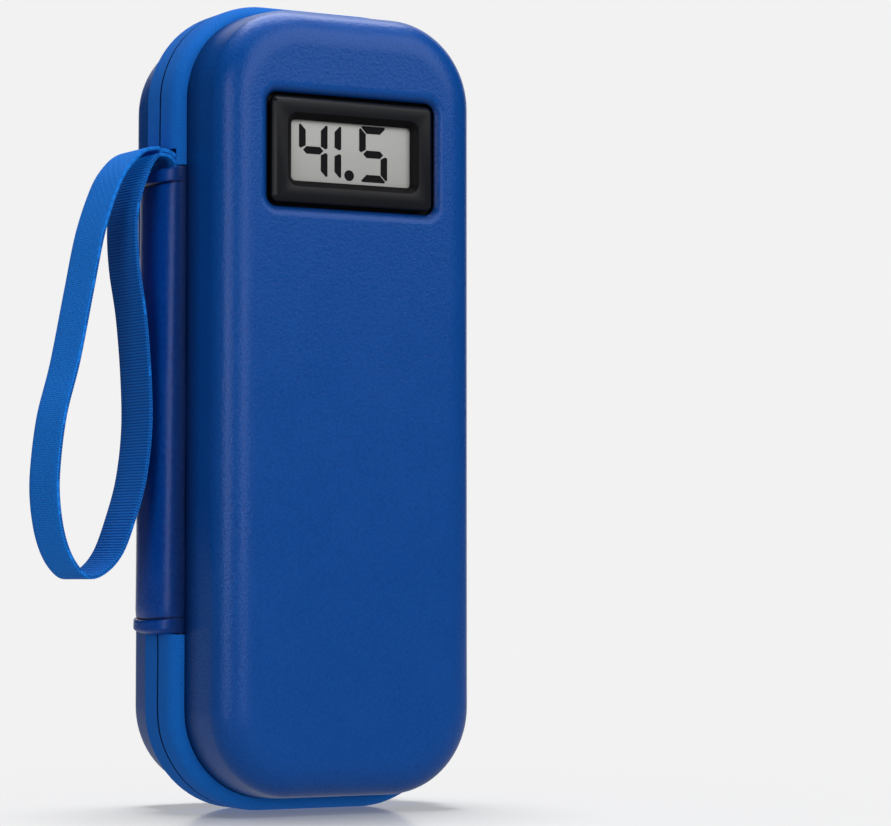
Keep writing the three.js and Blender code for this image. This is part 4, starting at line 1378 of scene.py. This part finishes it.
def coil(name, facing):
    bpy.ops.object.select_all(action="DESELECT")
    bpy.ops.mesh.primitive_cube_add(size=1)
    turn = bpy.context.object
    turn.scale = (COIL_TALL * MM, (COIL_REACH[1] - COIL_REACH[0]) * MM, COIL_TURN * MM)
    turn.location.y = facing * sum(COIL_REACH) / 2 * MM
    bpy.ops.object.transform_apply(location=True, scale=True)
    modify(turn, "BEVEL", width=COIL_BEVEL * MM, segments=2, limit_method="NONE")
    ends = [outline_distance(SIDE * MM, up * MM) for up in COIL_ENDS]
    count = int((ends[1] - ends[0]) / MM / COIL_PITCH) - 1
    corners, faces = [], []
    for i in range(count):
        spot, out = belt_station(ends[0] + (i + COIL_SHIFT[facing]) * COIL_PITCH * MM)
        spot = spot - out * COIL_INSET * MM
        deep = Vector((0, 1, 0))
        along = deep.cross(out)
        faces.extend([[len(corners) + k for k in face.vertices] for face in turn.data.polygons])
        points = [v.co for v in turn.data.vertices]
        corners.extend(spot + out * p.x + deep * p.y + along * p.z for p in points)
    bpy.data.objects.remove(turn)
    mesh = bpy.data.meshes.new(name)
    mesh.from_pydata(corners, [], faces)
    piece = bpy.data.objects.new(name, mesh)
    bpy.context.scene.collection.objects.link(piece)
    only(piece)
    face_out()
    return piece


for side, facing, body in HALVES:
    dress(coil(f"{side}_coil_turns", facing), body, COIL_NYLON, [f"{side}_zip_coil"], 40)

# %% [markdown]
# ## Inside the case
#
# Each half is lined with silver insulating foil cloth and holds a moulded blue gel pack, which has a trough
# that the pens lie in, under two bands of black elastic. The foil could have a pattern of its own, but
# crumpled film and leather grain are much alike, so it takes the same group with larger cells and more rise.

# %% Foil cloth and elastic
def foil():
    material, tree, shader = new_material("foil_cloth", Metallic=0.7, Specular_IOR_Level=0.4)
    where = coordinates(tree, "Object")
    grain = place_group(tree, "Grain", {"Vector": where, "Scale": 420.0})
    tone = blend_colour(tree, grain["Mottle"], (0.44, 0.45, 0.47, 1), (0.62, 0.63, 0.65, 1))
    tree.links.new(tone, shader.inputs["Base Color"])
    tree.links.new(between(tree, grain["Mottle"], 0.3, 0.5), shader.inputs["Roughness"])
    bump(tree, shader, grain["Height"], 0.7, 0.0004)
    return material


FOIL_CLOTH = foil()
ELASTIC_WEAVE = {"warp": 700.0, "weft": 2400.0, "repeat": 2.0, "over": 1.0, "depth": 0.00025}
ELASTIC = cloth("elastic_cloth", (0.003, 0.003, 0.004, 1), (0.02, 0.021, 0.025, 1), **ELASTIC_WEAVE)

# %% [markdown]
# The lining is a thin skin inside the shell. The inner side of the shell could be painted silver, but the
# real lining is sewn in as a piece of its own, so the same insets draw a smaller tray, and a thickness closes
# it. The opening for the thermometer is carved out.

# %% Line the halves
LINING_INSET = 9.05
LINING_FACE = FACE_DEPTH - 5.3
LINING_DRAFT = 1
LINING_THICKNESS = 0.9
LINING_HOLE = (BEZEL[0] + 0.6, BODY[1] + 1.2)


def lining(name, facing):
    piece = belt_face(name, LINING_INSET, FLANGE_EDGE, -facing)
    move_to_depth(piece, facing * FLANGE_EDGE)
    across = EDGE_END - LINING_INSET - LINING_DRAFT
    bend = quarter((EDGE_END, WALL_HEAD[1]), across, LINING_FACE - WALL_HEAD[1], INNER_STEPS)
    step_rings([(inset, FLANGE_EDGE - depth) for inset, depth in [(LINING_INSET, FLANGE_EDGE), *bend]])
    end_edit()
    modify(piece, "SOLIDIFY", thickness=LINING_THICKNESS * MM, offset=-1)
    return piece


front_lining = lining("front_lining_cloth", FRONT)
carve(front_lining, block_tool("lining_tool", *LINING_HOLE, BEZEL_CORNER, FACE_DEPTH, FLANGE_EDGE))
dress(front_lining, "lid", FOIL_CLOTH, ["front_lining"])
dress(lining("rear_lining_cloth", BACK), "case_back", FOIL_CLOTH, ["rear_lining"])

# %% [markdown]
# A gel pack is a flat bottle with round ends. A bevelled block could stand for it, but it wouldn't have the
# trough. Insets draw the wall, the round edge and the trough. The open rim is then filled, and the same tool
# rounds the edge on the other side.

# %% Mould the gel packs
PACK_EDGE = 3.5
PACK_RIM = 4.5
PACK_DISH = 2.4
PACK_DISH_REACH = 16
PACK_STEPS = 8
DISH_STEPS = 10


def gel_pack(cad_node, facing):
    low, high = (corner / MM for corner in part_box(cad_node))
    depths = sorted((facing * low.y, facing * high.y))
    width = high.x - low.x
    wall = depths[1] - PACK_EDGE
    piece = rounded_face(
        cad_node + "_moulding", width, low.z, high.z, width / 2 - 0.01, wall, -facing, CORNER_STEPS
    )
    move_to_depth(piece, facing * wall)
    tall = wall - depths[0]
    edge = quarter((PACK_EDGE, tall - PACK_EDGE), PACK_EDGE, PACK_EDGE, PACK_STEPS)
    dish = [
        (PACK_RIM + PACK_DISH_REACH * (1 - math.cos(a)), tall - PACK_DISH * math.sin(a))
        for a in right_angle(DISH_STEPS)
    ]
    step_rings([(0, 0), *edge, *dish])
    end_edit()
    close_rim()
    pick_faces(piece, lambda c, n: n.y * facing > 0.9 and abs(c.y - facing * wall * MM) < MM / 10)
    step_rings(quarter((PACK_EDGE, 0), PACK_EDGE, PACK_EDGE, PACK_STEPS))
    end_edit()
    return piece


for side, facing, body in HALVES:
    cad_node = f"{side}_gel_pack"
    dress(gel_pack(cad_node, facing), body, PACK_BLUE, [cad_node])

# %% [markdown]
# The bands cross the pack and bend back to the lining at both ends. Simulated elastic could be pulled over
# the pack, but a ribbon along a path with two round bends comes out the same every time. The backing behind
# the spine is an upright ribbon of the same elastic.

# %% Stretch the bands
BAND_BEND = 2.2
BAND_STEPS = 8
BAND_HALF = 0.45
BAND_THICKNESS = 0.85
BACKING_STEPS = 24


def band_path(low, high, facing):
    """Across the pack and back to the lining at both ends, with round bends."""
    near = min(abs(low.y), abs(high.y)) + BAND_HALF
    far = max(abs(low.y), abs(high.y))
    reach = high.x - BAND_HALF
    middle = (low.z + high.z) / 2
    bend = [
        (reach - BAND_BEND + BAND_BEND * math.cos(a), near + BAND_BEND - BAND_BEND * math.sin(a))
        for a in right_angle(BAND_STEPS)
    ]
    right = [(reach, far), *bend]
    line = [*right, (reach / 3, near), (-reach / 3, near), *((-x, y) for x, y in reversed(right))]
    return [Vector((x, facing * y, middle)) for x, y in line]


for side, facing, body in HALVES:
    for level in ("lower", "upper"):
        cad_node = f"{side}_band_{level}"
        low, high = (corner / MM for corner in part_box(cad_node))
        path = band_path(low, high, facing)
        upright = Vector((0, 0, 1))
        band = ribbon(cad_node + "_elastic", path, high.z - low.z, upright, BAND_THICKNESS, 0.2)
        dress(band, body, ELASTIC, [cad_node])

low, high = (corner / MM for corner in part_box("spine_lining"))
middle = (low + high) / 2
path = [
    Vector((middle.x, middle.y, low.z + (high.z - low.z) * i / BACKING_STEPS))
    for i in range(BACKING_STEPS + 1)
]
backing = ribbon("spine_backing", path, high.y - low.y, Vector((0, 1, 0)), high.x - low.x, 0.25)
dress(backing, "spine", ELASTIC, ["spine_lining"])

# %% [markdown]
# ## Floor and light
#
# The case stands on a pale table in front of the same pale tone. A curved backdrop could join the two, but
# its tone changes along the curve. Here the table glows a little and takes the rest of its light from a broad
# sun above and from the world, which are even everywhere, so it shows only a soft shadow, and a faint mirror
# image near the foot.

# %% Floor and world
PALE = (0.887, 0.887, 0.887, 1)
SKY = 0.18
SUN = 2.5
SUN_TILT = math.radians(9)
SUN_WIDTH = math.radians(24)
SHINE = 0.28
GLOW = 0.18
GLOW_ON_CASE = 0.5
SHINE_FADE = (0.06, 0.14)
SHINE_ROUGH = 0.1
FLOOR_RADIUS = 2
WHITE = (1, 1, 1, 1)
tone = PALE[0] / (SUN * math.cos(SUN_TILT) / math.pi + SKY)
bpy.ops.object.select_all(action="DESELECT")
bpy.ops.mesh.primitive_circle_add(vertices=96, radius=FLOOR_RADIUS, fill_type="NGON", location=(0, 0, 0))
floor = bpy.context.object
floor.name = "floor"
floor_paint = bpy.data.materials.new("floor_paint")
floor_paint.use_nodes = True
tree = floor_paint.node_tree
tree.nodes.clear()
matt = node(tree, "ShaderNodeBsdfDiffuse", {"Color": (tone, tone, tone, 1)})
glow = node(tree, "ShaderNodeEmission", {"Color": PALE, "Strength": 1.0})
lit = node(tree, "ShaderNodeMixShader", {0: GLOW, 1: matt.outputs[0], 2: glow.outputs[0]})
shine = node(tree, "ShaderNodeBsdfGlossy", {"Color": WHITE, "Roughness": SHINE_ROUGH})
reach = node(tree, "ShaderNodeVectorMath", {0: coordinates(tree, "Object")}, operation="LENGTH")
near = between(tree, reach.outputs["Value"], SHINE, 0.0, *SHINE_FADE)
table = node(tree, "ShaderNodeMixShader", {0: near, 1: lit.outputs[0], 2: shine.outputs[0]})
# Seen from the case, the table is a glowing panel of the pale tone that no lamp lights; it stands in for the
# light the table sends back and lights the case from below.
glow_for_case = node(tree, "ShaderNodeEmission", {"Color": PALE, "Strength": GLOW_ON_CASE})
rays = node(tree, "ShaderNodeLightPath")
seen = maths(tree, "MAXIMUM", rays.outputs["Is Camera Ray"], rays.outputs["Is Transmission Ray"])
shown = node(tree, "ShaderNodeMixShader", {0: seen, 1: glow_for_case.outputs[0], 2: table.outputs[0]})
node(tree, "ShaderNodeOutputMaterial", {"Surface": shown.outputs[0]})
floor.data.materials.append(floor_paint)

world = bpy.data.worlds.new("studio")
bpy.context.scene.world = world
world.use_nodes = True
tree = world.node_tree
tree.nodes.clear()
rays = node(tree, "ShaderNodeLightPath")
seen = maths(tree, "MAXIMUM", rays.outputs["Is Camera Ray"], rays.outputs["Is Glossy Ray"])
seen = maths(tree, "MAXIMUM", seen, rays.outputs["Is Transmission Ray"])
pale = node(tree, "ShaderNodeBackground", {"Color": PALE, "Strength": 1.0})
dim = node(tree, "ShaderNodeBackground", {"Color": WHITE, "Strength": SKY})
mixed = node(tree, "ShaderNodeMixShader", {0: seen, 1: dim.outputs[0], 2: pale.outputs[0]})
node(tree, "ShaderNodeOutputWorld", {"Surface": mixed.outputs[0]})
print("floor", FLOOR_RADIUS, "m in radius, tone", round(tone, 3))

# %% [markdown]
# The sun itself isn't mirrored, and the strap doesn't stop it. Soft boxes would make pale patches on the
# table too, so light linking lets them light the case alone: a large one high at the front right, an upright
# strip at the left, a narrower one in front that spares the spine, and a box overhead that only reflections
# see, which draws the pale line along the upper edge.

# %% Sun and soft boxes
ahead = Vector((CAMERA_AIM.x, CAMERA_AIM.y, 0)).normalized()
falls = -ahead * math.sin(SUN_TILT) - Vector((0, 0, math.cos(SUN_TILT)))
bpy.ops.object.light_add(type="SUN", rotation=falls.to_track_quat("-Z", "Y").to_euler())
sun = bpy.context.object
sun.data.energy = SUN
sun.data.angle = SUN_WIDTH
sun.visible_glossy = False


def left_out(name, *pieces):
    """A collection of pieces that a lamp doesn't reach."""
    made = bpy.data.collections.new(name)
    for piece in pieces:
        made.objects.link(piece)
    for entry in made.collection_objects:
        entry.light_linking.link_state = "EXCLUDE"
    return made


not_floor = left_out("not_floor", floor)
not_spine = left_out("not_floor_nor_spine", floor, spine)
sun.light_linking.blocker_collection = left_out("not_strap", strap)


def soft_box(name, place, size, power, spared):
    toward = MIDDLE - Vector(place)
    bpy.ops.object.light_add(type="AREA", location=place, rotation=toward.to_track_quat("-Z", "Y").to_euler())
    lamp = bpy.context.object
    lamp.name = name
    lamp.data.shape = "RECTANGLE"
    lamp.data.size, lamp.data.size_y = size
    lamp.data.energy = power
    lamp.light_linking.receiver_collection = spared
    return lamp


soft_box("key", (0.4, -0.95, 0.8), (1.4, 0.9), 11, not_floor)
top_box = soft_box("top_box", (0.1, 0.18, 1.09), (0.75, 0.75), 9.6, not_floor)
top_box.visible_diffuse = False
soft_box("left_strip", (-0.85, -0.6, 0.12), (0.42, 0.9), 4.3, not_floor)
soft_box("front_strip", (-0.2, -1.1, 0.12), (0.26, 0.9), 3.0, not_spine)
print(len(bpy.data.lights), "lamps")

# %% [markdown]
# A photographer hangs dark cards round a shiny thing, so that it doesn't mirror the pale room as a haze. One
# dark card stands here in a wide arc round the case. It is open behind the case, where the room is seen, and
# only reflections meet it.

# %% Hang the dark card
CARD_RADIUS = 2.2
CARD_HEIGHT = 3.0
CARD_OPENING = math.radians(30)
CARD_TONE = (0.03, 0.03, 0.03, 1)
view_angle = math.atan2(CAMERA_AIM.y, CAMERA_AIM.x)
bpy.ops.object.select_all(action="DESELECT")
bpy.ops.mesh.primitive_cylinder_add(
    vertices=96,
    radius=CARD_RADIUS,
    depth=CARD_HEIGHT,
    end_fill_type="NOTHING",
    location=(0, 0, CARD_HEIGHT / 2),
)
card = bpy.context.object
card.name = "dark_card"
bpy.ops.object.transform_apply(location=True)


def in_opening(centre, normal):
    turn = math.atan2(centre.y, centre.x) - view_angle
    return abs(math.remainder(turn, 2 * math.pi)) < CARD_OPENING


drop_faces(card, in_opening)
card_paint, tree, shader = new_material("card_paint", Roughness=1.0, Specular_IOR_Level=0.0)
shader.inputs["Base Color"].default_value = CARD_TONE
card.data.materials.append(card_paint)
card.visible_camera = False
card.visible_diffuse = False
card.visible_shadow = False
print("card", len(card.data.polygons), "faces")
